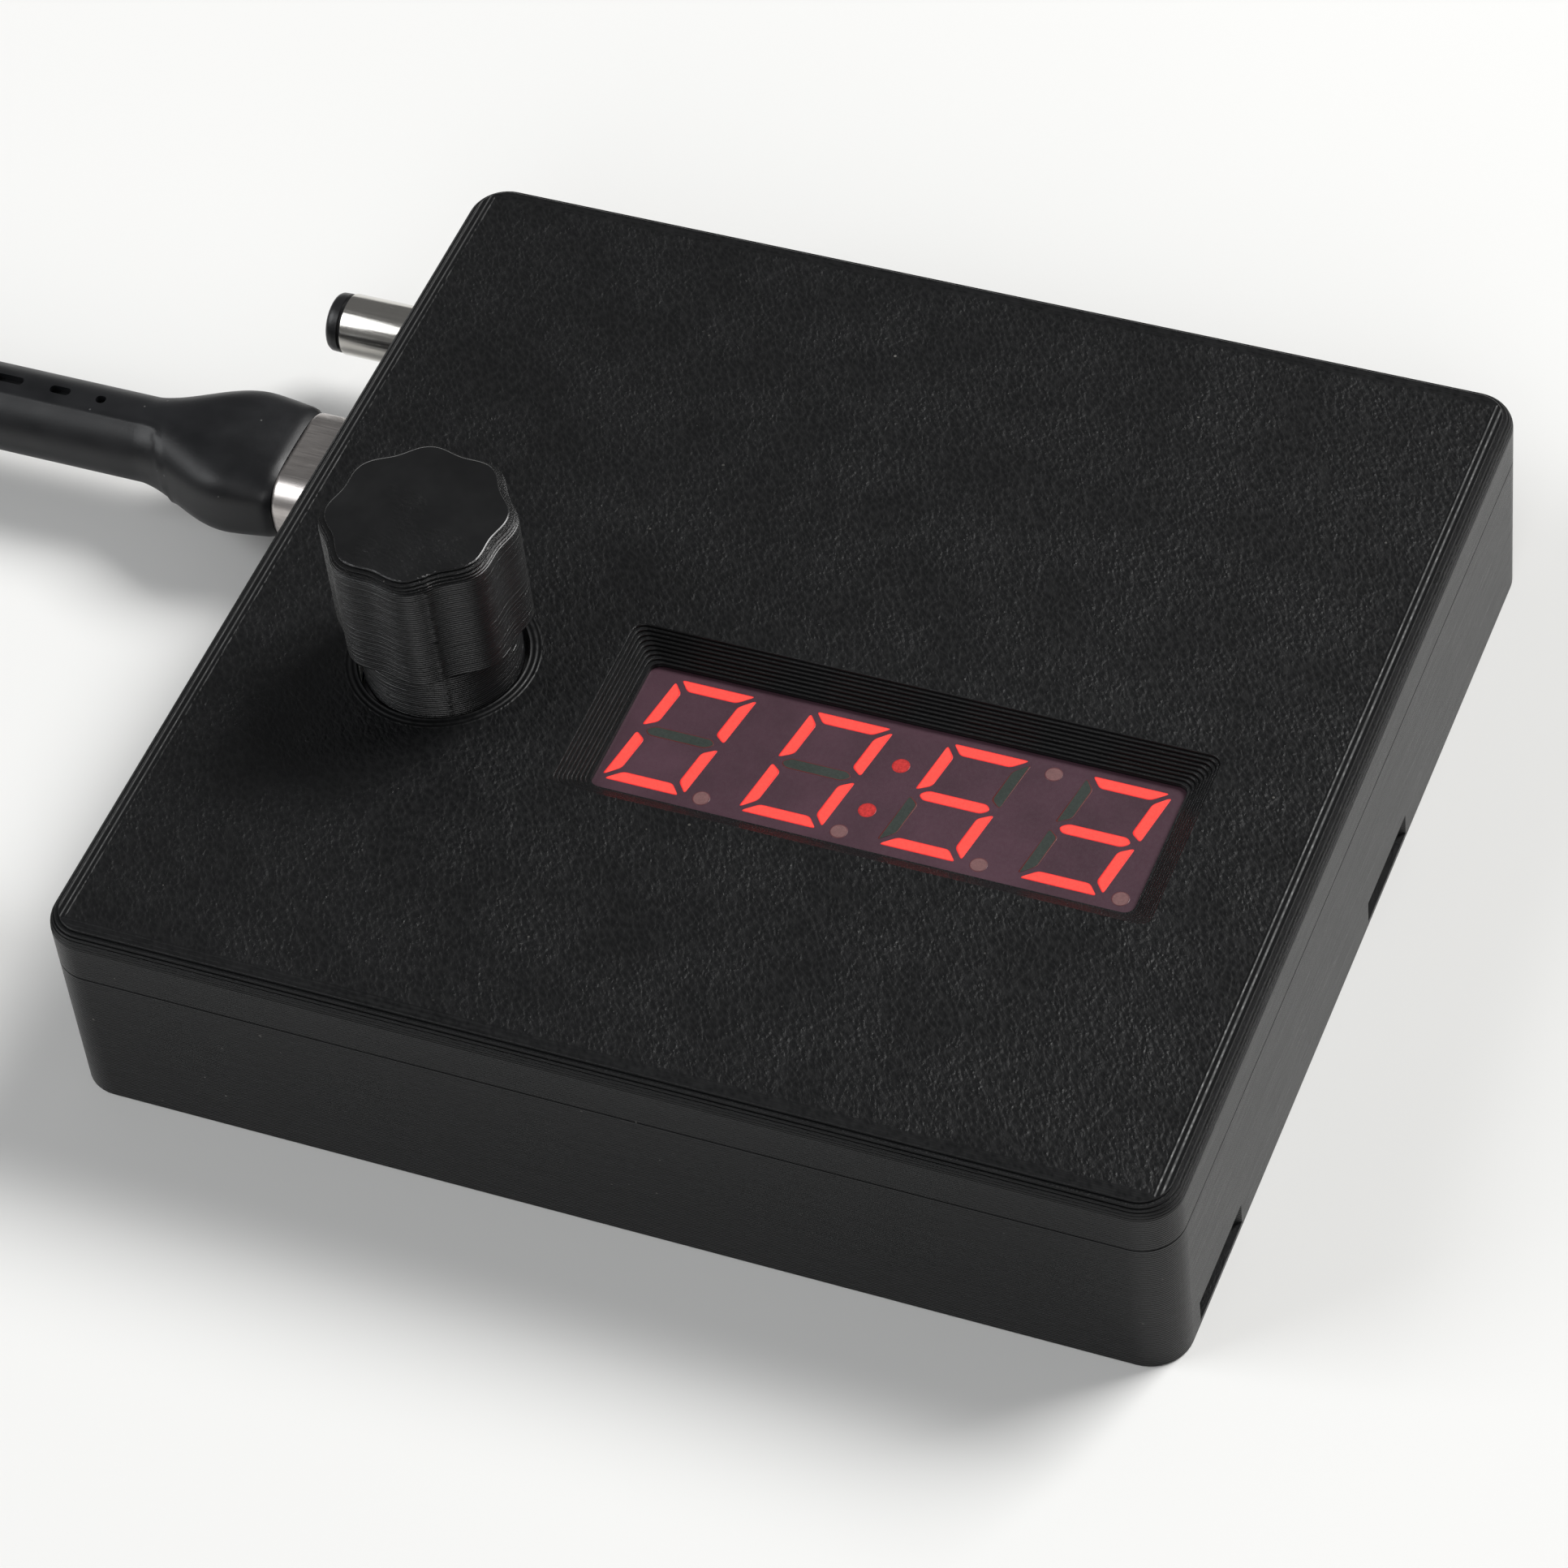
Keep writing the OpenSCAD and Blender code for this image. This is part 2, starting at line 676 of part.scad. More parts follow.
module encoder_shaft() color("#c3c6c9") {
    translate([knob_x, knob_y]) {
        d_rod(drive_r, drive_flat, shaft_z, shoulder_z + eps);
        rod(shoulder_r, shoulder_z, shoulder_z + shoulder_h);
        rod(shaft_r, shoulder_z, flat_z);
        d_rod(shaft_r, shaft_flat, flat_z - eps, shaft_top);
    }
}

module switch_dome() color("#cfcfcc") {
    translate([knob_x, knob_y]) rod(2.2, enc_z + 0.8, enc_z + 1.05);
}

module encoder_pins() color("#c8c4b8") {
    translate([knob_x, knob_y]) for (p = ENC_PINS) translate(p)
        block(-0.4, -0.25, enc_board_z - 1.2, 0.8, 0.5, board_t + 1.2);
}
ENC_PINS = [[-2.5, -5], [0, -5], [2.5, -5], [-2.5, 5], [2.5, 5]];

module encoder_board() color("#1f3f5c") {
    board(enc_board_w, enc_board_d, knob_x, knob_y, enc_board_z, ENC_SCREWS, 0.2)
        translate([knob_x, knob_y]) for (p = ENC_PINS) translate(p)
            block(-0.4, -0.25, enc_board_z - 1, 0.8, 0.5, board_t + 2);
}

module encoder_socket() color("#e6e3d8") {
    lead_socket(encoder_lead_x, enc_lead_y, enc_z, 4);
}

// Outline of the lobed grip: a circle with a wave, moved in by inset
module lobed(inset) {
    points = 12 * lobes;
    middle = knob_r - flute_depth / 2 - inset;
    polygon([for (i = [0:points - 1])
        let (a = 360 * i / points, r = middle + flute_depth / 2 * cos(lobes * (a - knob_turn_offset)))
        [r * cos(a), r * sin(a)]]);
}
knob_turn_offset = 15;

module knob() color("#1b1c1f") {
    n = knob_edge_layers;
    translate([knob_x, knob_y]) difference() {
        union() {
            rod(skirt_r, skirt_z, grip_z + 1);
            translate([0, 0, grip_z]) linear_extrude(grip_h - n * layer_h) lobed(0);
            for (i = [0:n - 1])
                translate([0, 0, knob_top - (n - i) * layer_h]) linear_extrude(layer_h) lobed(round_inset(i, n));
        }
        rod(bushing_r + 0.7, skirt_z - 1, enc_top_z + bushing_h + press_travel + 0.6);
        rod(shaft_r, skirt_z - 1, flat_z);
        d_rod(shaft_r, shaft_flat, flat_z - eps, shaft_top);
    }
}

// ---- Main board ----

module main_board() color("#1f4d36") {
    board(main_w, main_d, (main_x0 + main_x1) / 2, main_y + main_d / 2, main_z, MAIN_SCREWS, 0.2);
}

mcu_x = main_x0 + 40;
mcu_y = main_y + 13;
module microcontroller() color("#232325") {
    difference() {
        translate([mcu_x, mcu_y]) slab(7, 7, 1.4, 0.3, main_top);
        translate([mcu_x - 2.5, mcu_y + 2.5]) rod(0.4, main_top + 1.25, main_top + 3);
    }
}

module controller_leads() color("#b9bcc0") {
    for (side = [0:3], i = [0:7])
        translate([mcu_x, mcu_y]) rotate(90 * side)
            block((i - 3.5) * 0.8 - 0.18, 3.5, main_top, 0.36, 1, 0.35);
}

module crystal() color("#c3c6c9") {
    translate([mcu_x - 9, mcu_y + 2]) slab(4.6, 10.2, 3.5, 2.2, main_top);
}

module capacitor() color("#2b3650") {
    translate([main_x0 + 22.5, main_y1 - 4.5]) rod(3.15, main_top, main_top + 7);
}

module regulator() color("#232325") {
    translate([main_x0 + 14.5, main_y + 9.5]) slab(6.5, 3.5, 1.6, 0.2, main_top);
}

module chip_resistors() color("#2a2a2c") {
    for (i = [0:5]) block(mcu_x + 7, mcu_y - 7 + 2.6 * i, main_top, 2, 1.2, 0.55);
}

buzzer_x = main_x1 - 9;
buzzer_y = main_y + 10.5;
module buzzer() color("#1c1c1e") {
    translate([buzzer_x, buzzer_y]) difference() {
        rod(4.8, main_top, main_top + 6.5);
        rod(1, main_top + 5.5, main_top + 7);
    }
}

module usb_socket_shell() color("#b9bcc0") {
    x0 = -in_w / 2 + 0.3;
    translate([0, plug_y, plug_z]) difference() {
        bar_x(socket_w, socket_h, 1.5, x0, x0 + socket_len);
        bar_x(socket_w - 0.6, socket_h - 0.6, 1.25, x0 - 1, x0 + socket_len - 0.3);
    }
}

module usb_socket_tongue() color("#2a2a2c") {
    x0 = -in_w / 2 + 0.3;
    translate([x0 + 1, plug_y - 3.3, plug_z - 0.35]) cube([socket_len - 1.3, 6.6, 0.7]);
}

module main_board_sockets() color("#e6e3d8") {
    lead_socket(display_lead_x, socket_y, main_top, 4);
    lead_socket(encoder_lead_x, socket_y, main_top, 4);
    difference() {
        block(barrel_lead_x - 2.4, main_y1 - 6, main_top, 4.8, 6, 4);
        for (s = [-1, 1]) translate([barrel_lead_x + s * barrel_lead_side, main_y1 - 4, barrel_z])
            rotate([-90, 0, 0]) cylinder(r = lead_r, h = 5);
    }
}

// An arched lead: up out of one socket, over, and down into the other
module arch(x, y0, z0, y1, z1) {
    r = (y1 - y0) / 2;
    top = under_z - lead_gap - lead_r - r;
    translate([x, y0]) rod(lead_r, z0, top);
    translate([x, y1]) rod(lead_r, z1, top);
    translate([x, (y0 + y1) / 2, top]) rotate([90, 0, 90])
        rotate_extrude(angle = 180) translate([r, 0]) circle(r = lead_r, $fn = 24);
}

// A flat lead of four arched wires
module arched_lead(x, y0, z0) {
    for (i = [0:3]) arch(x + (i - 1.5) * lead_pitch, y0, z0 + 1, socket_y, main_top + 1);
}

module display_lead() color("#6b6e73") {
    arched_lead(display_lead_x, disp_lead_y, disp_z);
}

module encoder_lead() color("#6b6e73") {
    arched_lead(encoder_lead_x, enc_lead_y, enc_z);
}

module barrel_lead() color("#8a2020") {
    for (s = [-1, 1]) {
        r = barrel_lead_bend - s * barrel_lead_side;
        x = barrel_lead_x - barrel_lead_bend;
        y = barrel_y - barrel_lead_bend;
        translate([0, barrel_y - s * barrel_lead_side, barrel_z]) rod_x(lead_r, barrel_body_x1, x);
        translate([x, y, barrel_z]) rotate_extrude(angle = 90) translate([r, 0]) circle(r = lead_r, $fn = 24);
        translate([x + r, main_y1 - 4, barrel_z]) rotate([-90, 0, 0])
            cylinder(r = lead_r, h = y - main_y1 + 4);
    }
}

// ---- Barrel connector ----

barrel_body_r = 4.4;
barrel_body_len = 8;
barrel_body_x1 = -in_w / 2 + barrel_body_len;
cradle_w = 2 * barrel_body_r + 1;
barrel_gap = 0.4;
barrel_tip_x = -case_w / 2 - barrel_len;
barrel_root_x = -in_w / 2 + 3;
sleeve_wall = 0.35;

module barrel_sleeve() color("#b8b6b0") {
    translate([0, barrel_y, barrel_z]) difference() {
        union() {
            rod_x(barrel_d / 2, barrel_tip_x + barrel_tip_len, -case_w / 2);
            rod_x(barrel_d / 2 + barrel_gap, -case_w / 2, barrel_root_x);
        }
        rod_x(barrel_d / 2 - sleeve_wall, barrel_tip_x - 1, barrel_root_x + 1);
    }
}

module barrel_tip() color("#17181b") {
    translate([0, barrel_y, barrel_z]) difference() {
        union() {
            rod_x(barrel_d / 2, barrel_tip_x, barrel_tip_x + barrel_tip_len);
            rod_x(barrel_d / 2 - sleeve_wall, barrel_tip_x, barrel_root_x);
        }
        rod_x(barrel_bore / 2 + 0.3, barrel_tip_x + 1, barrel_root_x + 1);
        rod_x(barrel_bore / 2, barrel_tip_x - 1, barrel_tip_x + 2);
    }
}

module barrel_contact() color("#c9a24c") {
    translate([0, barrel_y, barrel_z]) difference() {
        rod_x(barrel_bore / 2 + 0.3, barrel_tip_x + 1, barrel_root_x);
        rod_x(barrel_bore / 2, barrel_tip_x - 1, barrel_root_x - 1);
    }
}

module barrel_body() color("#1b1c1f") {
    translate([0, barrel_y, barrel_z]) difference() {
        rod_x(barrel_body_r, -in_w / 2, barrel_body_x1);
        rod_x(barrel_d / 2 + barrel_gap, -in_w / 2 - 1, barrel_root_x);
    }
}

// ---- Power plug and cable ----

nose_w = 8.25;
nose_h = 2.4;
nose_tip = -in_w / 2 + 6.2;

module plug_nose() color("#c3c6c9") {
    translate([0, plug_y, plug_z]) difference() {
        bar_x(nose_w, nose_h, 1.15, collar_front, nose_tip);
        bar_x(nose_w - 0.9, nose_h - 0.9, 0.7, collar_front + 0.8, nose_tip + 1);
    }
}

module plug_collar() color("#b9b5b1") {
    translate([0, plug_y, plug_z]) bar_x(collar_w, collar_h, collar_r, collar_x, collar_front);
}

// Half width and half height of the moulding at a share t of its length
function moulding_half_w(t) = tail_r + (collar_w / 2 + 0.15 - tail_r) * neck(t) + 0.5 * belly(t);
function moulding_half_h(t) = tail_r + (collar_h / 2 + 0.1 - tail_r) * neck(t) + 0.45 * belly(t);
function neck(t) = t < neck_end ? (1 + cos(180 * max(0, (t - neck_start) / (neck_end - neck_start)))) / 2 : 0;
function belly(t) = t < neck_end ? sin(180 * t / neck_end) : 0;
tail_r = 3.3;
neck_start = 0.1;
neck_end = 0.33;
mould_sides = 24;

module plug_moulding() color("#191a1d") {
    shares = [0, 0.03, 0.07, 0.11, 0.15, 0.19, 0.23, 0.27, 0.3, 0.33, 0.4, 0.55, 0.7, 0.8, 0.88, 0.95, 1];
    translate([collar_x, plug_y, plug_z])
        skin([for (t = shares)
            let (end = t > 0.85 ? 1 - 0.25 * pow((t - 0.85) / 0.15, 2) : 1,
                w = moulding_half_w(t) * end, h = moulding_half_h(t) * end, p = 2 + 1.2 * neck(t))
            [for (k = [0:mould_sides - 1])
                let (a = 360 * k / mould_sides, c = cos(a), s = sin(a))
                [-t * moulding_len, w * sign(c) * pow(abs(c), 2 / p), h * sign(s) * pow(abs(s), 2 / p)]]],
            mould_sides);
}

module cable_run() color("#1d1e21") {
    tube(RUN, cable_d / 2, 8);
}

module cable_coil() color("#1d1e21") {
    translate([coil_x, coil_y]) rotate_extrude()
        translate([coil_d / 2, coil_z + coil_top / 2])
            round_rect(coil_out - coil_in, coil_top, cable_d / 2);
}

module cable_tie() color("#2a2b2e") {
    across = coil_out - coil_in + 2 * tie_gap;
    translate([coil_x - coil_d / 2, coil_y]) difference() {
        translate([-across / 2 - tie_t, -tie_w / 2, 0]) cube([across + 2 * tie_t, tie_w, coil_z + coil_top + tie_t]);
        translate([-across / 2, -tie_w, coil_z]) cube([across, 2 * tie_w, coil_top]);
    }
}

module cable_end() color("#1d1e21") {
    tube(END, cable_d / 2, 8);
}

module far_plug_moulding() color("#191a1d") {
    translate([0, far_y, far_z]) {
        bar_x(15, 8, 2, far_x + 8, far_x + far_len);
        bar_x(6, 6, 2.4, far_x, far_x + 8);
    }
}

module far_plug_shell() color("#c3c6c9") {
    translate([0, far_y, far_z]) difference() {
        bar_x(usb_a_w, usb_a_h, 0.5, far_x + far_len, far_x + far_len + usb_a_len);
        bar_x(usb_a_w - 0.6, usb_a_h - 0.6, 0.3, far_x + far_len + 0.5, far_x + far_len + usb_a_len + 1);
    }
}

module far_plug_tongue() color("#e6e3d8") {
    translate([far_x + far_len + 0.5, far_y - usb_a_w / 2 + 0.7, far_z - usb_a_h / 2 + 0.3])
        cube([usb_a_len - 1, usb_a_w - 1.4, 1.9]);
}

lid_shell();
base_shell();
case_screws();
thread_inserts();
display_housing();
lit_segments();
unlit_segments();
colon_dots();
unlit_dots();
display_pins();
display_board();
driver_chip();
driver_chip_leads();
display_socket();
board_screws();
encoder_base();
encoder_cover();
encoder_rotor();
encoder_shaft();
switch_dome();
encoder_pins();
encoder_board();
encoder_socket();
knob();
main_board();
microcontroller();
controller_leads();
crystal();
capacitor();
regulator();
chip_resistors();
buzzer();
usb_socket_shell();
usb_socket_tongue();
main_board_sockets();
display_lead();
encoder_lead();
barrel_lead();
barrel_sleeve();
barrel_tip();
barrel_contact();
barrel_body();
plug_nose();
plug_collar();
plug_moulding();
cable_run();
cable_coil();
cable_tie();
cable_end();
far_plug_moulding();
far_plug_shell();
far_plug_tongue();
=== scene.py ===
"""The looks of a countertop kitchen timer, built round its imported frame.

A printed case carries a four-digit display under a bevelled window, a fluted knob, a small barrel connector
and a plugged-in power cable. The frame is in metres, with the case's underside at z = 0. Drafts are made in
millimetres.
"""

import json
import logging
import math
import random
from dataclasses import dataclass, field
from enum import Enum
from typing import Callable, Iterable, Iterator, Sequence

import bpy
from mathutils import Matrix, Vector


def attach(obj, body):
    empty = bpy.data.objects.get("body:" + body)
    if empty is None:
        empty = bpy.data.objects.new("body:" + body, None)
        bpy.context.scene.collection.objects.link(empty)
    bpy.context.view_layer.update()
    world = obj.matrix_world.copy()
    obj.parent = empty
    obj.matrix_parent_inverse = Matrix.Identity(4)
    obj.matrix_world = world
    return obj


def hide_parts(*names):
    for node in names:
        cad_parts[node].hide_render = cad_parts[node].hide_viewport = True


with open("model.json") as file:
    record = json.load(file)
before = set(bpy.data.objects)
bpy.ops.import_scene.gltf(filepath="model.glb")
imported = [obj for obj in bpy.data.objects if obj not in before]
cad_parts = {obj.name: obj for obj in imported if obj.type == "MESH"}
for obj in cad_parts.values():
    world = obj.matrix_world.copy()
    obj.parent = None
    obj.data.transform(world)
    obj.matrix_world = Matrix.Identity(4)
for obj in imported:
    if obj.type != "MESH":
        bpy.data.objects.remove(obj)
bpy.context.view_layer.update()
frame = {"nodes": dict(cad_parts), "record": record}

LOG = logging.getLogger("timer")
MM = 0.001
FLAT_AREA = 6.0  # square millimetres: faces from this size up are shaded flat
LEVEL_NORMAL = 0.999  # how far up or down a face looks to count as level
WELD_DISTANCE = 0.0005  # millimetres
BLACK = (0.0, 0.0, 0.0)
Point = tuple[float, float, float]
Flat = tuple[float, float]
Ring = list[Point]
Colour = tuple[float, float, float]
Socket = bpy.types.NodeSocket


class Body(Enum):
    """The rigid bodies that pieces ride on."""

    CASE = "case"
    KNOB = "knob_shaft"


class Axis(Enum):
    """The line that a turned piece goes round."""

    X = "x"
    Z = "z"


class Cut(Enum):
    """The ways of carving one shape with another."""

    TAKE_AWAY = "DIFFERENCE"
    KEEP_SHARED = "INTERSECT"


# ---------------------------------------------------------------- drafting


@dataclass
class Draft:
    """Points and faces of one piece, in millimetres, while it is being made."""

    points: list[Point] = field(default_factory=list)
    faces: list[tuple[int, ...]] = field(default_factory=list)
    marks: dict[int, float] = field(default_factory=dict)

    def ring(self, points: Iterable[Point], mark: float = 0.0) -> list[int]:
        """Adds a ring of points.

        Args:
            points: the ring's points.
            mark: a number that the finish can read at those points.

        Returns:
            The numbers of the points.
        """
        start = len(self.points)
        self.points.extend(points)
        added = list(range(start, len(self.points)))
        if mark:
            self.marks.update(dict.fromkeys(added, mark))
        return added

    def band(self, low: Sequence[int], high: Sequence[int]) -> None:
        """Joins two rings of the same number of points with a strip of faces."""
        count = len(low)
        for i in range(count):
            j = (i + 1) % count
            self.faces.append((low[i], low[j], high[j], high[i]))

    def loft(self, rings: Sequence[Ring], marks: Sequence[float] = (), hollow: bool = False) -> "Draft":
        """Skins a closed shape over rings.

        Args:
            rings: rings of equally many points, each counter-clockwise seen from the last one's side.
            marks: the mark of each ring, where there are any.
            hollow: joins the last ring back to the first in place of closing both ends.

        Returns:
            This draft.
        """
        made = [self.ring(points, marks[i] if marks else 0.0) for i, points in enumerate(rings)]
        for low, high in zip(made, made[1:]):
            self.band(low, high)
        if hollow:
            self.band(made[-1], made[0])
        else:
            self.faces.append(tuple(reversed(made[0])))
            self.faces.append(tuple(made[-1]))
        return self

    def add_mesh(self, mesh: bpy.types.Mesh) -> "Draft":
        """Adds a copy of a mesh's points and faces, and returns this draft."""
        start = len(self.points)
        self.points.extend(tuple(v.co) for v in mesh.vertices)
        self.faces.extend(tuple(start + i for i in p.vertices) for p in mesh.polygons)
        return self

    def make(self, name: str) -> bpy.types.Object:
        """Turns the draft into an object of that name, still in millimetres."""
        mesh = bpy.data.meshes.new(name)
        mesh.from_pydata(self.points, [], self.faces)
        if self.marks:
            mark = mesh.attributes.new("mark", "FLOAT", "POINT")
            for number, value in self.marks.items():
                mark.data[number].value = value
        mesh.validate()
        piece = bpy.data.objects.new(name, mesh)
        bpy.context.scene.collection.objects.link(piece)
        return piece


def round_outline(
    width: float, depth: float, radius: float, corner: int = 8, sides: tuple[int, int] = (1, 1),
) -> list[Flat]:
    """Gives a rectangle with round corners, counter-clockwise round its middle.

    Args:
        width: size along the first axis.
        depth: size along the second axis.
        radius: radius of the corners.
        corner: number of steps in each corner.
        sides: number of steps in each side along the first and second axis.

    Returns:
        The points of the outline.
    """
    points: list[Flat] = []
    x, y = width / 2 - radius, depth / 2 - radius
    centres = [(x, y, 0.0), (-x, y, 90.0), (-x, -y, 180.0), (x, -y, 270.0)]
    for number, (cx, cy, start) in enumerate(centres):
        for step in range(corner + 1):
            angle = math.radians(start + 90 * step / corner)
            points.append((cx + radius * math.cos(angle), cy + radius * math.sin(angle)))
        nx, ny, after = centres[(number + 1) % 4]
        angle = math.radians(after)
        end = (nx + radius * math.cos(angle), ny + radius * math.sin(angle))
        last = points[-1]
        steps = sides[number % 2]
        for step in range(1, steps):
            share = step / steps
            points.append((last[0] + (end[0] - last[0]) * share, last[1] + (end[1] - last[1]) * share))
    return points


def flat_ring(outline: Sequence[Flat], middle: Flat, z: float) -> Ring:
    """Lays an outline flat round a point at height z."""
    return [(middle[0] + px, middle[1] + py, z) for px, py in outline]


def upright_ring(outline: Sequence[Flat], x: float, middle: Flat) -> Ring:
    """Stands an outline across the X axis at x, round the y and z of its middle."""
    return [(x, middle[0] + px, middle[1] + py) for px, py in outline]


def circle(radius: float, steps: int) -> list[Flat]:
    """Gives the points of a circle."""
    angles = [math.tau * i / steps for i in range(steps)]
    return [(radius * math.cos(angle), radius * math.sin(angle)) for angle in angles]


def turned(
    name: str, axis: Axis, middle: Flat, profile: Sequence[Flat], steps: int = 64, hollow: bool = False,
) -> bpy.types.Object:
    """Makes a turned piece.

    Args:
        name: name of the piece.
        axis: the axis that it is turned round.
        middle: the axis's place across: y and z for X, x and y for Z.
        profile: places along the axis with their radii, going up the axis along the outside.
        steps: number of points round it.
        hollow: the profile comes back along the bore to where it began.

    Returns:
        The piece, in millimetres.
    """
    if axis is Axis.X:
        rings = [upright_ring(circle(radius, steps), at, middle) for at, radius in profile]
    else:
        rings = [flat_ring(circle(radius, steps), middle, at) for at, radius in profile]
    return Draft().loft(rings, hollow=hollow).make(name)


def carve(piece: bpy.types.Object, cutters: Sequence[bpy.types.Object], cut: Cut = Cut.TAKE_AWAY) -> None:
    """Carves a piece with closed shapes, and removes them.

    Args:
        piece: the piece to change.
        cutters: closed shapes in the same units.
        cut: what is left of the piece.
    """
    for number, cutter in enumerate(cutters):
        step = piece.modifiers.new(f"carve_{number}", "BOOLEAN")
        step.operation = cut.value
        step.solver = "EXACT"
        step.object = cutter
    bpy.context.view_layer.update()
    mesh = bpy.data.meshes.new_from_object(piece.evaluated_get(bpy.context.evaluated_depsgraph_get()))
    piece.modifiers.clear()
    old = piece.data
    piece.data = mesh
    bpy.data.meshes.remove(old)
    for cutter in cutters:
        bpy.data.objects.remove(cutter)


def slab(name: str, width: float, depth: float, radius: float, middle: Flat, span: Flat) -> bpy.types.Object:
    """Makes a plain upright block with round corners, as a cutter.

    Args:
        name: name of the block.
        width: size along X.
        depth: size along Y.
        radius: radius of the corners.
        middle: its middle in x and y.
        span: lowest and highest z.

    Returns:
        The block, in millimetres.
    """
    outline = round_outline(width, depth, radius)
    return Draft().loft([flat_ring(outline, middle, z) for z in span]).make(name)


def node_copy(node: str) -> bpy.types.Object:
    """Copies a frame node's mesh into a new object, in millimetres."""
    mesh = frame["nodes"][node].data.copy()
    mesh.transform(Matrix.Scale(1 / MM, 4))
    piece = bpy.data.objects.new(f"{node}_copy", mesh)
    bpy.context.scene.collection.objects.link(piece)
    weld = piece.modifiers.new("weld", "WELD")
    weld.merge_threshold = WELD_DISTANCE
    return piece


def dress(
    piece: bpy.types.Object, finish: "Finish", body: Body, nodes: Sequence[str] = (),
) -> bpy.types.Object:
    """Gives a piece in metres its finish and joins it to the frame.

    Args:
        piece: the piece, in metres.
        finish: its finish.
        body: the body that it rides on.
        nodes: the nodes of the frame that it stands for.

    Returns:
        The piece.
    """
    piece.data.materials.clear()
    piece.data.materials.append(finish.material())
    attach(piece, body.value)
    if nodes:
        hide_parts(*nodes)
    LOG.info("%s: %s, for %s", piece.name, finish.slot, ", ".join(nodes) or "no node of its own")
    return piece


def settle(
    piece: bpy.types.Object, finish: "Finish", body: Body, nodes: Sequence[str] = (), sharp: float = 35.0,
    level: bool = False,
) -> bpy.types.Object:
    """Scales a finished piece to metres, smooths it and dresses it.

    Args:
        piece: the piece, in millimetres.
        finish: its finish.
        body: the body that it rides on.
        nodes: the nodes of the frame that it stands for.
        sharp: the angle between faces, in degrees, above which their edge stays sharp.
        level: every face that lies level stays plainly flat.

    Returns:
        The piece, in metres.
    """
    mesh = piece.data
    mesh.shade_smooth()
    mesh.set_sharp_from_angle(angle=math.radians(sharp))
    for face in mesh.polygons:
        face.use_smooth = face.area < FLAT_AREA and not (level and abs(face.normal.z) > LEVEL_NORMAL)
    mesh.transform(Matrix.Scale(MM, 4))
    return dress(piece, finish, body, nodes)


# ---------------------------------------------------------------- shader tools


def four(value: object) -> object:
    """Returns a colour of three numbers with a full fourth, and anything else as it is."""
    return (*value, 1.0) if isinstance(value, tuple) and len(value) == 3 else value


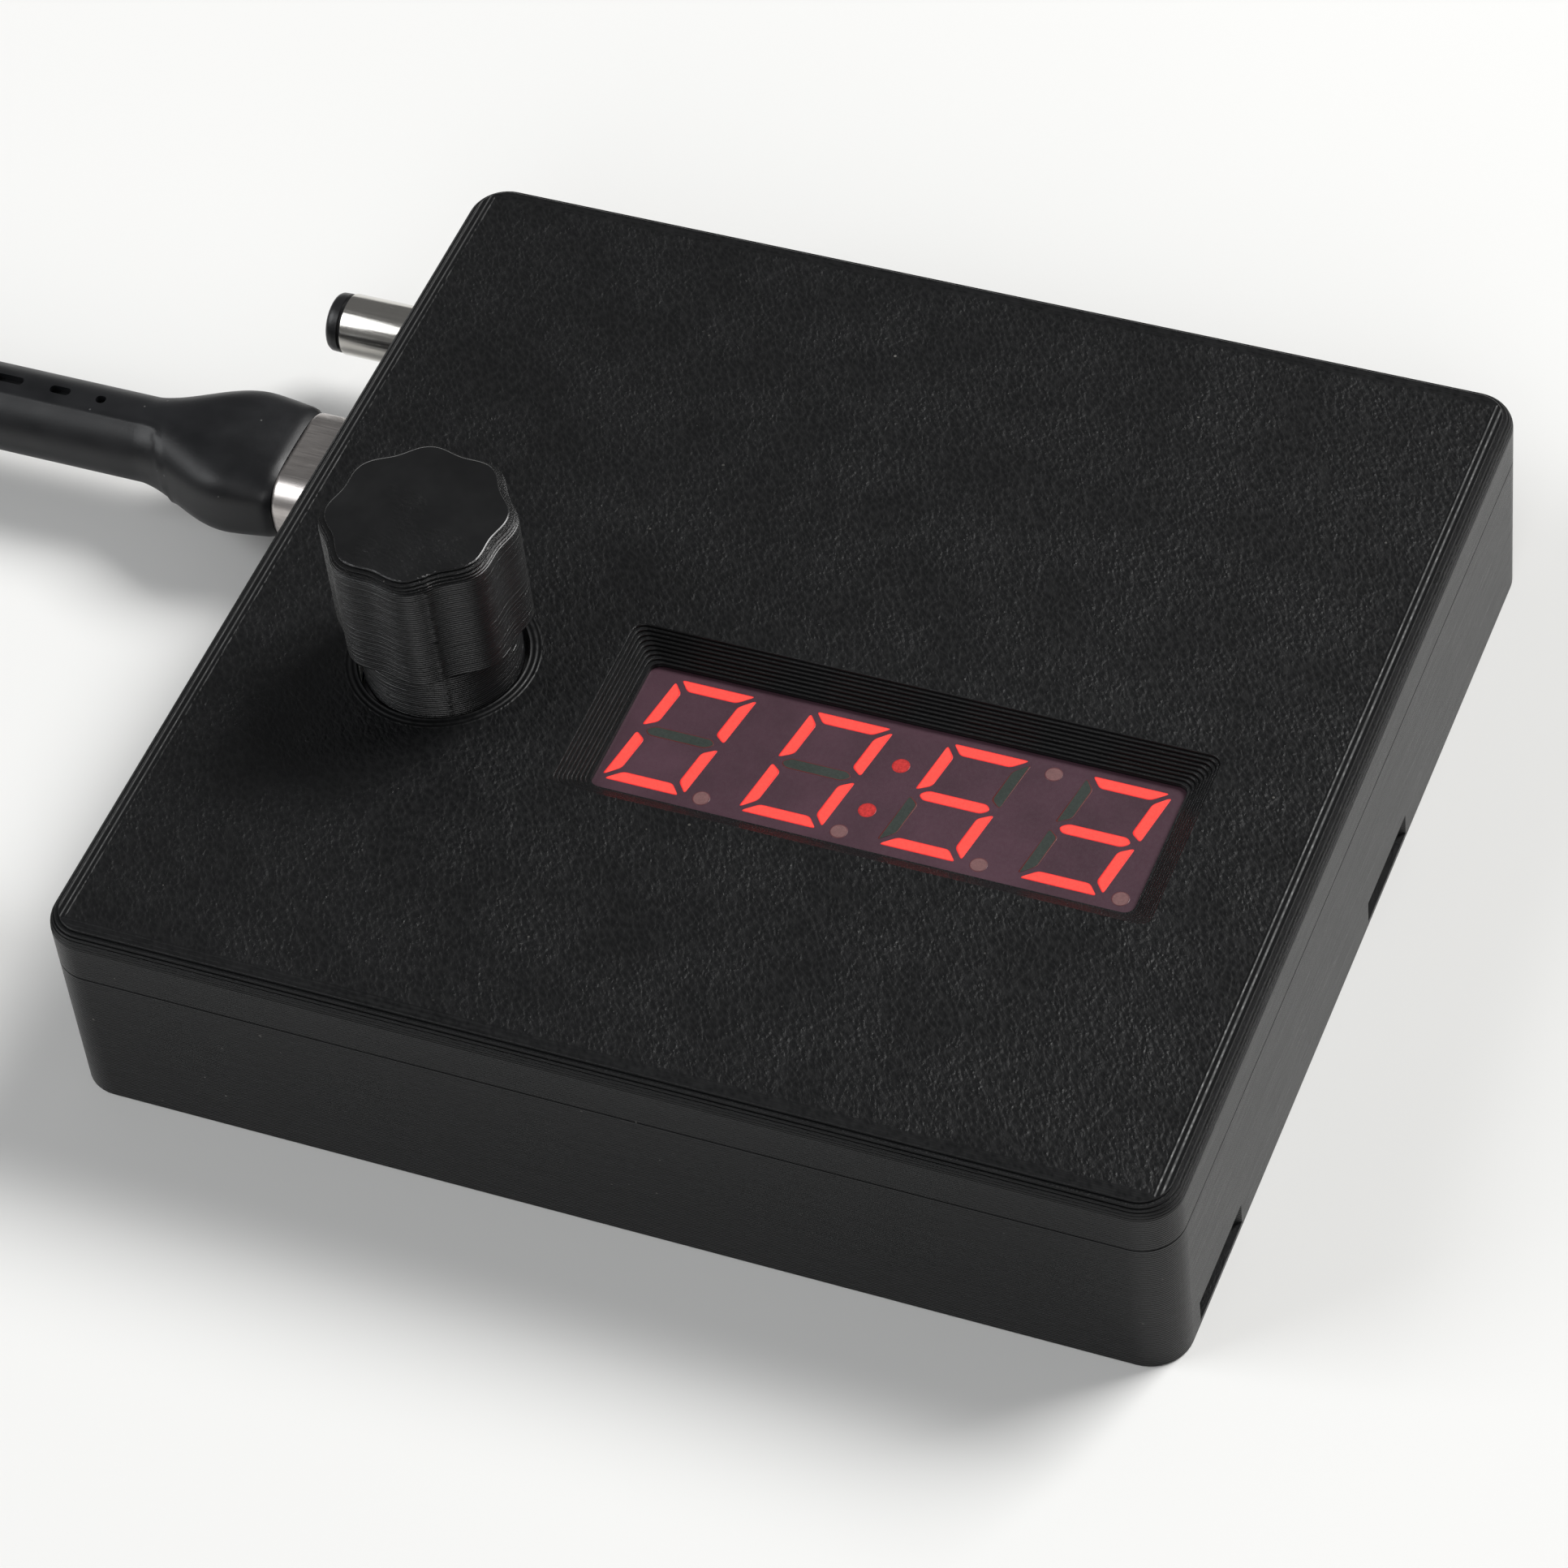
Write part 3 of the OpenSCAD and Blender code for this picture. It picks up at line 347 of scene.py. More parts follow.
class Graph:
    """Adds nodes to a tree and joins them."""

    def __init__(self, tree: bpy.types.NodeTree) -> None:
        """Starts on a tree."""
        self.tree = tree

    def add(self, kind: str, **settings: object) -> bpy.types.Node:
        """Adds a node of a kind and sets its properties."""
        node = self.tree.nodes.new(kind)
        for key, value in settings.items():
            setattr(node, key, value)
        return node

    def feed(self, node: bpy.types.Node, values: dict[object, object]) -> bpy.types.Node:
        """Fills a node's inputs, each from a socket or with a plain value, and returns the node."""
        for key, value in values.items():
            if isinstance(value, Socket):
                self.tree.links.new(value, node.inputs[key])
            else:
                node.inputs[key].default_value = value
        return node

    def math(self, operation: str, *values: object) -> Socket:
        """Returns the result of a math step on up to three values."""
        node = self.add("ShaderNodeMath", operation=operation)
        return self.feed(node, dict(enumerate(values))).outputs[0]

    def plus(self, first: object, second: object) -> Socket:
        """Returns the sum of two values."""
        return self.math("ADD", first, second)

    def minus(self, first: object, second: object) -> Socket:
        """Returns the first value less the second."""
        return self.math("SUBTRACT", first, second)

    def times(self, first: object, second: object) -> Socket:
        """Returns the product of two values."""
        return self.math("MULTIPLY", first, second)

    def over(self, first: object, second: object) -> Socket:
        """Returns the first value divided by the second."""
        return self.math("DIVIDE", first, second)

    def vector(self, operation: str, *values: object) -> Socket:
        """Returns the vector result of a vector step."""
        node = self.add("ShaderNodeVectorMath", operation=operation)
        return self.feed(node, dict(enumerate(values))).outputs["Vector"]

    def join(self, x: object, y: object, z: object = 0.0) -> Socket:
        """Returns a vector made of three values."""
        return self.feed(self.add("ShaderNodeCombineXYZ"), {0: x, 1: y, 2: z}).outputs[0]

    def place(self) -> Socket:
        """Returns the place on the piece, in metres."""
        return self.add("ShaderNodeTexCoord").outputs["Object"]

    def split(self, vector: Socket) -> tuple[Socket, Socket, Socket]:
        """Returns a vector's x, y and z."""
        node = self.feed(self.add("ShaderNodeSeparateXYZ"), {0: vector})
        return node.outputs[0], node.outputs[1], node.outputs[2]

    def noise(self, vector: object, scale: object, detail: float = 2.0, rough: float = 0.5) -> Socket:
        """Returns a cloudy value round 0.5."""
        node = self.add("ShaderNodeTexNoise")
        values = {"Vector": vector, "Scale": scale, "Detail": detail, "Roughness": rough}
        return self.feed(node, values).outputs["Fac"]

    def fit(
        self, value: object, low: object, high: object, to_low: object = 0.0, to_high: object = 1.0,
    ) -> Socket:
        """Maps a value from one range to another, held at its ends."""
        node = self.add("ShaderNodeMapRange", clamp=True)
        values = {"Value": value, "From Min": low, "From Max": high, "To Min": to_low, "To Max": to_high}
        return self.feed(node, values).outputs["Result"]

    def blend(self, share: object, first: object, second: object) -> Socket:
        """Returns a colour between two colours."""
        node = self.add("ShaderNodeMix", data_type="RGBA")
        return self.feed(node, {0: share, 6: four(first), 7: four(second)}).outputs[2]

    def between(self, share: object, first: object, second: object) -> Socket:
        """Returns a number between two numbers."""
        node = self.add("ShaderNodeMix", data_type="FLOAT")
        return self.feed(node, {0: share, 2: first, 3: second}).outputs[0]

    def bump(self, height: Socket, depth: float) -> Socket:
        """Returns a bumped normal.

        Args:
            height: the height, from 0 to about 1.
            depth: how many millimetres a height of 1 stands for.

        Returns:
            The normal.
        """
        values = {"Height": height, "Distance": depth * MM, "Strength": 1.0}
        return self.feed(self.add("ShaderNodeBump"), values).outputs[0]

    def effect(self, effect: "Effect", **values: object) -> dict[str, Socket]:
        """Places a shared effect and returns its outputs by name."""
        node = self.add("ShaderNodeGroup", node_tree=effect.tree())
        self.feed(node, values)
        return {output.name: output for output in node.outputs}


@dataclass(frozen=True)
class Effect:
    """A shared surface effect: a node group with named values in and out."""

    name: str
    inputs: tuple[tuple[str, float], ...]
    outputs: tuple[str, ...]
    build: Callable[[Graph, dict[str, Socket]], dict[str, Socket]]

    def tree(self) -> bpy.types.NodeTree:
        """Returns the effect's node group, made at its first use."""
        found = bpy.data.node_groups.get(self.name)
        if found:
            return found
        made = bpy.data.node_groups.new(self.name, "ShaderNodeTree")
        for name, value in self.inputs:
            socket = made.interface.new_socket(name, in_out="INPUT", socket_type="NodeSocketFloat")
            socket.default_value = value
        for name in self.outputs:
            made.interface.new_socket(name, in_out="OUTPUT", socket_type="NodeSocketFloat")
        graph = Graph(made)
        given = {socket.name: socket for socket in graph.add("NodeGroupInput").outputs if socket.name}
        graph.feed(graph.add("NodeGroupOutput"), self.build(graph, given))
        return made


def build_layers(g: Graph, given: dict[str, Socket]) -> dict[str, Socket]:
    """Printed layers: a round bead for each, a tone of its own, and streaks along them."""
    place = g.place()
    z = g.split(place)[2]
    turn = g.over(z, given["Layer"])
    number = g.math("FLOOR", g.plus(turn, 0.001))
    part = g.minus(g.times(g.math("FRACT", turn), 2.0), 1.0)
    bead = g.minus(1.0, g.math("POWER", g.math("ABSOLUTE", part), 4.0))
    tone = g.feed(g.add("ShaderNodeTexWhiteNoise", noise_dimensions="1D"), {"W": number}).outputs["Value"]
    drawn = g.vector("MULTIPLY", place, (0.03, 0.03, 1.0))
    streak = g.noise(drawn, given["Streaks"], 3.0, 0.6)
    return {"Bead": bead, "Tone": tone, "Streak": streak}


def build_pebbles(g: Graph, given: dict[str, Socket]) -> dict[str, Socket]:
    """The skin of a face printed on a textured sheet: small pebbles that are longer one way."""
    node = g.add("ShaderNodeVectorRotate", rotation_type="Z_AXIS")
    turn = g.feed(node, {"Vector": g.place(), "Angle": given["Turn"]}).outputs[0]
    drawn = g.vector("MULTIPLY", turn, (0.6, 1.0, 1.0))
    wander = g.noise(drawn, g.times(given["Scale"], 0.4), 2.0)
    push = g.over(g.times(g.minus(wander, 0.5), 1.6), given["Scale"])
    pushed = g.vector("ADD", drawn, g.join(push, push))
    cells = g.add("ShaderNodeTexVoronoi", feature="SMOOTH_F1")
    cell = g.feed(cells, {"Vector": pushed, "Scale": given["Scale"], "Smoothness": 0.2}).outputs["Distance"]
    grain = g.noise(drawn, g.times(given["Scale"], 1.7), 3.0, 0.65)
    height = g.plus(g.times(g.minus(1.0, cell), 0.6), g.times(grain, 0.5))
    patch = g.noise(g.place(), 170.0, 3.0, 0.6)
    height = g.times(height, g.fit(patch, 0.35, 0.6, 0.45, 1.0))
    return {"Height": height, "Cell": cell, "Patch": patch}


def build_dust_and_glints(g: Graph, given: dict[str, Socket]) -> dict[str, Socket]:
    """Pale specks, thicker in some places than in others: dust, and on the lid painted glints as well."""
    place = g.place()
    spots = g.feed(g.add("ShaderNodeTexVoronoi"), {"Vector": place, "Scale": given["Scale"]})
    number = g.split(spots.outputs["Color"])[0]
    reach = g.fit(number, given["Rarity"], 1.0, 0.0, 0.17)
    speck = g.math("LESS_THAN", spots.outputs["Distance"], reach)
    drift = g.fit(g.noise(place, 90.0, 2.0), 0.4, 0.65)
    return {"Speck": g.times(speck, drift)}


def build_grain(g: Graph, given: dict[str, Socket]) -> dict[str, Socket]:
    """A fine skin as moulded or sprayed surfaces have, with slow clouds of wear."""
    place = g.place()
    fine = g.noise(place, given["Scale"], 4.0, 0.65)
    cloud = g.noise(place, g.times(given["Scale"], 0.06), 3.0, 0.55)
    return {"Fine": fine, "Cloud": cloud}


def build_brushed(g: Graph, given: dict[str, Socket]) -> dict[str, Socket]:
    """Fine scratches drawn out along X."""
    place = g.place()
    drawn = g.vector("MULTIPLY", place, (0.03, 1.0, 1.0))
    line = g.noise(drawn, given["Scale"], 4.0, 0.75)
    stain = g.noise(place, 420.0, 3.0, 0.6)
    return {"Line": line, "Stain": stain}


LAYER = 0.2  # millimetres: the height of a printed layer
LAYERS = Effect(
    "layers", (("Layer", LAYER * MM), ("Streaks", 7000.0)), ("Bead", "Tone", "Streak"), build_layers,
)
PEBBLES = Effect("pebbles", (("Scale", 3600.0), ("Turn", 0.87)), ("Height", "Cell", "Patch"), build_pebbles)
# pale specks blended into colours: dust, and on the lid painted glints as well
DUST_AND_GLINTS = Effect("dust_and_glints", (("Scale", 900.0), ("Rarity", 0.93)), ("Speck",), build_dust_and_glints)
GRAIN = Effect("grain", (("Scale", 5000.0),), ("Fine", "Cloud"), build_grain)
BRUSHED = Effect("brushed", (("Scale", 9000.0),), ("Line", "Stain"), build_brushed)


# ---------------------------------------------------------------- finishes


@dataclass(frozen=True)
class Finish:
    """A finish for one of the record's material slots: plain colour and gloss, before its own pattern."""

    slot: str
    colour: Colour
    roughness: float = 0.45
    metallic: float = 0.0
    specular: float = 0.5

    def material(self) -> bpy.types.Material:
        """Returns the material, made at its first use."""
        name = self.name()
        found = bpy.data.materials.get(name)
        if found:
            return found
        made = bpy.data.materials.new(name)
        made.use_nodes = True
        graph = Graph(made.node_tree)
        shader = made.node_tree.nodes["Principled BSDF"]
        plain = {
            "Base Color": four(self.colour), "Roughness": self.roughness,
            "Metallic": self.metallic, "Specular IOR Level": self.specular,
        }
        graph.feed(shader, plain)
        graph.feed(shader, self.pattern(graph))
        return made

    def name(self) -> str:
        """Returns the material's name."""
        return f"{self.slot}_finish"

    def shade(self, factor: float) -> Colour:
        """Returns the finish's colour, made lighter or darker."""
        return (self.colour[0] * factor, self.colour[1] * factor, self.colour[2] * factor)

    def toned(self, g: Graph, tone: Socket) -> Socket:
        """Returns the finish's colour under a tone: black at 0, as it is at 0.5 and twice as light at 1."""
        return g.blend(tone, BLACK, self.shade(2.0))

    def pattern(self, g: Graph) -> dict[str, Socket]:
        """Returns what varies over the surface, by shader input."""
        raise NotImplementedError


@dataclass(frozen=True)
class PrintedCase(Finish):
    """Black printed plastic: layer beads on the walls and pebbles on the lid.

    Perimeter lines run round the lid's edge and round the knob's hole. Pale specks in the colour are partly
    dust and partly painted glints.
    """

    knob: tuple[float, float, float] = (0.0, 0.0, 1.0)
    lid: tuple[float, float, float] = (82.0, 78.0, 17.0)
    band: float = 0.85
    wall: float = 0.31
    line: float = 0.42

    def edge_distance(self, g: Graph, x: Socket, y: Socket) -> Socket:
        """Returns how far a point on the lid is from its outer edge or the knob's hole."""
        across = g.minus(self.lid[0] / 2, g.math("ABSOLUTE", x))
        along = g.minus(self.lid[1] / 2, g.math("ABSOLUTE", y))
        outer = g.math("MINIMUM", across, along)
        off = g.vector("SUBTRACT", g.join(x, y), (self.knob[0], self.knob[1], 0.0))
        length = g.feed(g.add("ShaderNodeVectorMath", operation="LENGTH"), {0: off}).outputs["Value"]
        hole = g.minus(length, self.knob[2])
        return g.math("MINIMUM", outer, hole)

    def pattern(self, g: Graph) -> dict[str, Socket]:
        """Returns the case's colour, roughness and relief."""
        x, y, z = g.split(g.vector("MULTIPLY", g.place(), (1 / MM, 1 / MM, 1 / MM)))
        up = g.split(g.add("ShaderNodeNewGeometry").outputs["True Normal"])[2]
        top = g.times(g.math("GREATER_THAN", up, 0.9), g.math("GREATER_THAN", z, self.lid[2] - 0.02))
        flat = g.math("GREATER_THAN", g.math("ABSOLUTE", up), 0.6)
        below = g.math("LESS_THAN", up, -0.9)
        layers = g.effect(LAYERS, Layer=LAYER * MM)
        pebbles = g.effect(PEBBLES, Scale=2900.0, Turn=0.87)
        # pale specks: partly dust, partly painted glints on the lid
        dust_and_glints = g.effect(DUST_AND_GLINTS, Scale=1500.0, Rarity=0.955)
        grain = g.effect(GRAIN, Scale=6000.0)
        edge = self.edge_distance(g, x, y)
        inner = g.fit(edge, self.band - 0.08, self.band + 0.08)
        rim = g.math("COSINE", g.times(edge, math.tau / self.line))
        rim = g.fit(rim, -1.0, 1.0, 0.35, 0.8)
        diagonal = g.math("COSINE", g.times(g.plus(x, y), math.tau / (self.line * math.sqrt(2))))
        skin = g.between(inner, rim, pebbles["Height"])
        wall = g.between(flat, g.times(layers["Bead"], 0.34), g.times(grain["Fine"], 0.35))
        wall = g.between(below, wall, g.fit(diagonal, -1.0, 0.4, 0.0, 0.5))
        height = g.between(top, wall, skin)
        height = g.plus(height, g.times(dust_and_glints["Speck"], 0.12))
        tone = g.fit(layers["Tone"], 0.0, 1.0, 0.82, 1.2)
        tone = g.times(tone, g.fit(layers["Streak"], 0.3, 0.7, 0.85, 1.15))
        tone = g.between(top, tone, g.fit(pebbles["Patch"], 0.3, 0.7, 0.85, 1.15))
        colour = self.toned(g, g.times(tone, 0.5))
        # painted glints and dust: pale specks blended into the colour
        colour = g.blend(g.times(dust_and_glints["Speck"], 0.35), colour, (0.30, 0.29, 0.27))
        rough = g.between(top, g.fit(layers["Streak"], 0.3, 0.7, self.wall - 0.05, self.wall + 0.05),
                          g.fit(pebbles["Cell"], 0.0, 0.8, self.roughness - 0.12, self.roughness + 0.14))
        return {"Base Color": colour, "Roughness": rough, "Normal": g.bump(height, 0.12)}


@dataclass(frozen=True)
class PrintedKnob(Finish):
    """Black printed plastic with strong layer lines and a rough top with smooth patches."""

    top: float = 31.3

    def pattern(self, g: Graph) -> dict[str, Socket]:
        """Returns the knob's colour, roughness and relief."""
        z = g.over(g.split(g.place())[2], MM)
        layers = g.effect(LAYERS, Layer=LAYER * MM)
        pebbles = g.effect(PEBBLES, Scale=3200.0, Turn=0.3)
        dust_and_glints = g.effect(DUST_AND_GLINTS, Scale=1600.0, Rarity=0.95)
        grain = g.effect(GRAIN, Scale=9000.0)
        on_top = g.math("GREATER_THAN", z, self.top - 0.03)
        patch = g.fit(pebbles["Patch"], 0.47, 0.53)
        skin = g.between(patch, 0.35, pebbles["Height"])
        height = g.between(on_top, g.times(grain["Fine"], 0.25), skin)
        height = g.plus(height, g.times(dust_and_glints["Speck"], 0.15))
        tone = g.fit(layers["Tone"], 0.0, 1.0, 0.4, 0.62)
        tone = g.times(tone, g.fit(layers["Streak"], 0.3, 0.7, 0.8, 1.2))
        colour = self.toned(g, tone)
        colour = g.blend(g.times(dust_and_glints["Speck"], 0.4), colour, (0.32, 0.31, 0.29))
        rough = g.fit(layers["Streak"], 0.3, 0.7, self.roughness - 0.08, self.roughness + 0.08)
        return {"Base Color": colour, "Roughness": rough, "Normal": g.bump(height, 0.11)}


@dataclass(frozen=True)
class Moulded(Finish):
    """Smooth moulded plastic, nylon or rubber: a fine skin, slow clouds and a little dust."""

    scale: float = 5000.0
    depth: float = 0.01
    dust_and_glints: float = 0.15
    change: float = 0.12

    def pattern(self, g: Graph) -> dict[str, Socket]:
        """Returns the plastic's colour, roughness and relief."""
        grain = g.effect(GRAIN, Scale=self.scale)
        dust_and_glints = g.effect(DUST_AND_GLINTS, Scale=1200.0, Rarity=0.93)
        tone = g.fit(grain["Cloud"], 0.3, 0.7, 0.5 - self.change / 2, 0.5 + self.change / 2)
        colour = self.toned(g, tone)
        colour = g.blend(g.times(dust_and_glints["Speck"], self.dust_and_glints), colour, (0.5, 0.49, 0.46))
        rough = g.fit(grain["Fine"], 0.3, 0.7, self.roughness - 0.06, self.roughness + 0.06)
        return {"Base Color": colour, "Roughness": rough, "Normal": g.bump(grain["Fine"], self.depth)}


@dataclass(frozen=True)
class BareMetal(Finish):
    """Plated or bare metal: fine drawn lines, light stains and uneven gloss."""

    depth: float = 0.003
    stain: Colour = (0.3, 0.28, 0.26)
    stained: float = 0.25

    def pattern(self, g: Graph) -> dict[str, Socket]:
        """Returns the metal's colour, roughness and relief."""
        brushed = g.effect(BRUSHED, Scale=9000.0)
        share = g.times(g.fit(brushed["Stain"], 0.45, 0.75), self.stained)
        colour = g.blend(share, self.colour, self.stain)
        rough = g.fit(brushed["Line"], 0.25, 0.75, max(0.05, self.roughness - 0.1), self.roughness + 0.12)
        return {"Base Color": colour, "Roughness": rough, "Normal": g.bump(brushed["Line"], self.depth)}


@dataclass(frozen=True)
class BoardFinish(Finish):
    """Solder mask over copper tracks and a faint glass weave."""

    track: Colour = (0.02, 0.16, 0.06)
    lane_pitch: float = 1.27

    def pattern(self, g: Graph) -> dict[str, Socket]:
        """Returns the board's colour and relief."""
        grain = g.effect(GRAIN, Scale=4000.0)
        x, y, _ = g.split(g.place())
        wander = g.noise(g.place(), 180.0, 1.0)
        lane = g.math("FRACT", g.plus(g.over(y, self.lane_pitch * MM), g.times(wander, 3.0)))
        lane = g.math("LESS_THAN", g.math("ABSOLUTE", g.minus(lane, 0.5)), 0.14)
        part = g.math("GREATER_THAN", g.noise(g.join(x, 0.0), 120.0, 1.0), 0.47)
        track = g.times(lane, part)
        tone = g.fit(grain["Cloud"], 0.3, 0.7, 0.42, 0.58)
        colour = g.blend(g.times(track, 0.6), self.toned(g, tone), self.track)
        height = g.plus(g.times(track, 0.6), g.times(grain["Fine"], 0.2))
        return {"Base Color": colour, "Normal": g.bump(height, 0.03)}


@dataclass(frozen=True)
class LitSegment(Finish):
    """A glowing filling: brightest along its middle, deeper at its rim, with a fine cloudy speckle."""

    glow: float = 1.0
    middle: Colour = (1.0, 0.078, 0.062)
    speckle: float = 0.08
    strength: float = 2.0

    def pattern(self, g: Graph) -> dict[str, Socket]:
        """Returns the filling's colour and its glow."""
        grain = g.effect(GRAIN, Scale=6500.0)
        rim = g.add("ShaderNodeAttribute", attribute_name="mark").outputs["Fac"]
        colour = g.blend(g.fit(rim, 0.0, 1.0), self.middle, self.colour)
        tone = g.fit(grain["Fine"], 0.3, 0.7, 0.5 - self.speckle, 0.5 + self.speckle)
        glow = g.blend(g.times(tone, self.glow), BLACK, colour)
        base = g.blend(0.85, colour, (0.02, 0.002, 0.002))
        return {"Base Color": base, "Emission Color": glow, "Normal": g.bump(grain["Fine"], 0.006)}

    def material(self) -> bpy.types.Material:
        """Returns the material, with its glow switched on."""
        made = super().material()
        made.node_tree.nodes["Principled BSDF"].inputs["Emission Strength"].default_value = self.strength
        return made


@dataclass(frozen=True)
class DarkSegment(Finish):
    """An unlit filling: a dull face inside a thin reddish outline."""

    outline: Colour = (0.10, 0.018, 0.016)

    def pattern(self, g: Graph) -> dict[str, Socket]:
        """Returns the filling's colour, roughness and relief."""
        grain = g.effect(GRAIN, Scale=5500.0)
        rim = g.add("ShaderNodeAttribute", attribute_name="mark").outputs["Fac"]
        tone = g.fit(grain["Fine"], 0.3, 0.7, 0.42, 0.58)
        face = self.toned(g, tone)
        colour = g.blend(g.fit(rim, 0.25, 0.75), face, self.outline)
        rough = g.fit(grain["Cloud"], 0.3, 0.7, self.roughness - 0.06, self.roughness + 0.08)
        return {"Base Color": colour, "Roughness": rough, "Normal": g.bump(grain["Fine"], 0.008)}


@dataclass(frozen=True)
class SoftBlack(Finish):
    """Soft black cable and plug plastic with a faint sheen and handling marks."""

    depth: float = 0.008

    def pattern(self, g: Graph) -> dict[str, Socket]:
        """Returns the plastic's colour, roughness and relief."""
        grain = g.effect(GRAIN, Scale=3500.0)
        dust_and_glints = g.effect(DUST_AND_GLINTS, Scale=1500.0, Rarity=0.9)
        tone = g.fit(grain["Cloud"], 0.3, 0.7, 0.4, 0.62)
        colour = self.toned(g, tone)
        colour = g.blend(g.times(dust_and_glints["Speck"], 0.3), colour, (0.35, 0.35, 0.34))
        rough = g.fit(grain["Cloud"], 0.35, 0.65, self.roughness - 0.05, self.roughness + 0.07)
        return {"Base Color": colour, "Roughness": rough, "Normal": g.bump(grain["Fine"], self.depth)}


@dataclass(frozen=True)
class PaleFloor(Finish):
    """A plain matt floor with faint clouds."""

    def pattern(self, g: Graph) -> dict[str, Socket]:
        """Returns the floor's colour."""
        cloud = g.noise(g.place(), 9.0, 3.0, 0.5)
        return {"Base Color": g.blend(g.fit(cloud, 0.3, 0.7), self.shade(0.985), self.colour)}


BLACK_PRINT = (0.0062, 0.0064, 0.0068)
FINISHES: dict[str, Finish] = {
    finish.slot: finish for finish in (
        PrintedKnob("knob_plastic", BLACK_PRINT, 0.24, specular=0.55),
        Moulded(
            "display_face", (0.060, 0.028, 0.040), 0.42, specular=0.4, scale=3000.0, depth=0.012, change=0.2,
        ),
        LitSegment("lit_red", (0.74, 0.026, 0.026), 0.4, specular=0.3),
        LitSegment(
            "dim_red", (0.50, 0.022, 0.024), 0.4, specular=0.3, glow=0.7, middle=(0.60, 0.04, 0.038),
            speckle=0.2,
        ),
        DarkSegment("dark_segment", (0.032, 0.040, 0.035), 0.42, specular=0.3),
        DarkSegment("dark_dot", (0.17, 0.085, 0.085), 0.4, outline=(0.10, 0.03, 0.035)),
        BareMetal("nickel", (0.70, 0.68, 0.64), 0.18, 1.0, depth=0.002, stained=0.15),
        BareMetal("collar_metal", (0.62, 0.585, 0.565), 0.32, 1.0, stain=(0.38, 0.34, 0.33), stained=0.35),
        BareMetal("gold_contact", (0.85, 0.60, 0.25), 0.22, 1.0, stain=(0.5, 0.3, 0.12)),
        BareMetal("screw_steel", (0.42, 0.42, 0.43), 0.30, 1.0, stain=(0.16, 0.15, 0.15)),
        BareMetal("brass_insert", (0.72, 0.52, 0.24), 0.30, 1.0, stain=(0.36, 0.22, 0.1)),
        BareMetal("tinned", (0.66, 0.66, 0.64), 0.30, 1.0),
        BareMetal("encoder_metal", (0.60, 0.61, 0.62), 0.27, 1.0),
        BoardFinish("board_green", (0.010, 0.085, 0.032), 0.32),
        BoardFinish("board_blue", (0.012, 0.045, 0.13), 0.32, track=(0.03, 0.10, 0.24)),
        Moulded("chip_black", (0.014, 0.014, 0.016), 0.5, depth=0.015),
        Moulded("socket_white", (0.62, 0.61, 0.56), 0.42),
        Moulded("lead_grey", (0.23, 0.235, 0.24), 0.45),
        Moulded("lead_red", (0.30, 0.014, 0.014), 0.4),
        Moulded("encoder_nylon", (0.42, 0.41, 0.36), 0.45),
        Moulded("capacitor_blue", (0.02, 0.05, 0.16), 0.3),
        SoftBlack("plug_black", (0.0062, 0.0066, 0.0078), 0.40, specular=0.42),
        SoftBlack("cable_black", (0.0070, 0.0074, 0.0084), 0.44, specular=0.42),
        Moulded("tongue_white", (0.70, 0.69, 0.63), 0.35),
        Moulded("tip_black", (0.0105, 0.0105, 0.0115), 0.34, scale=7000.0),
    )
}


# ---------------------------------------------------------------- power cable and plugs


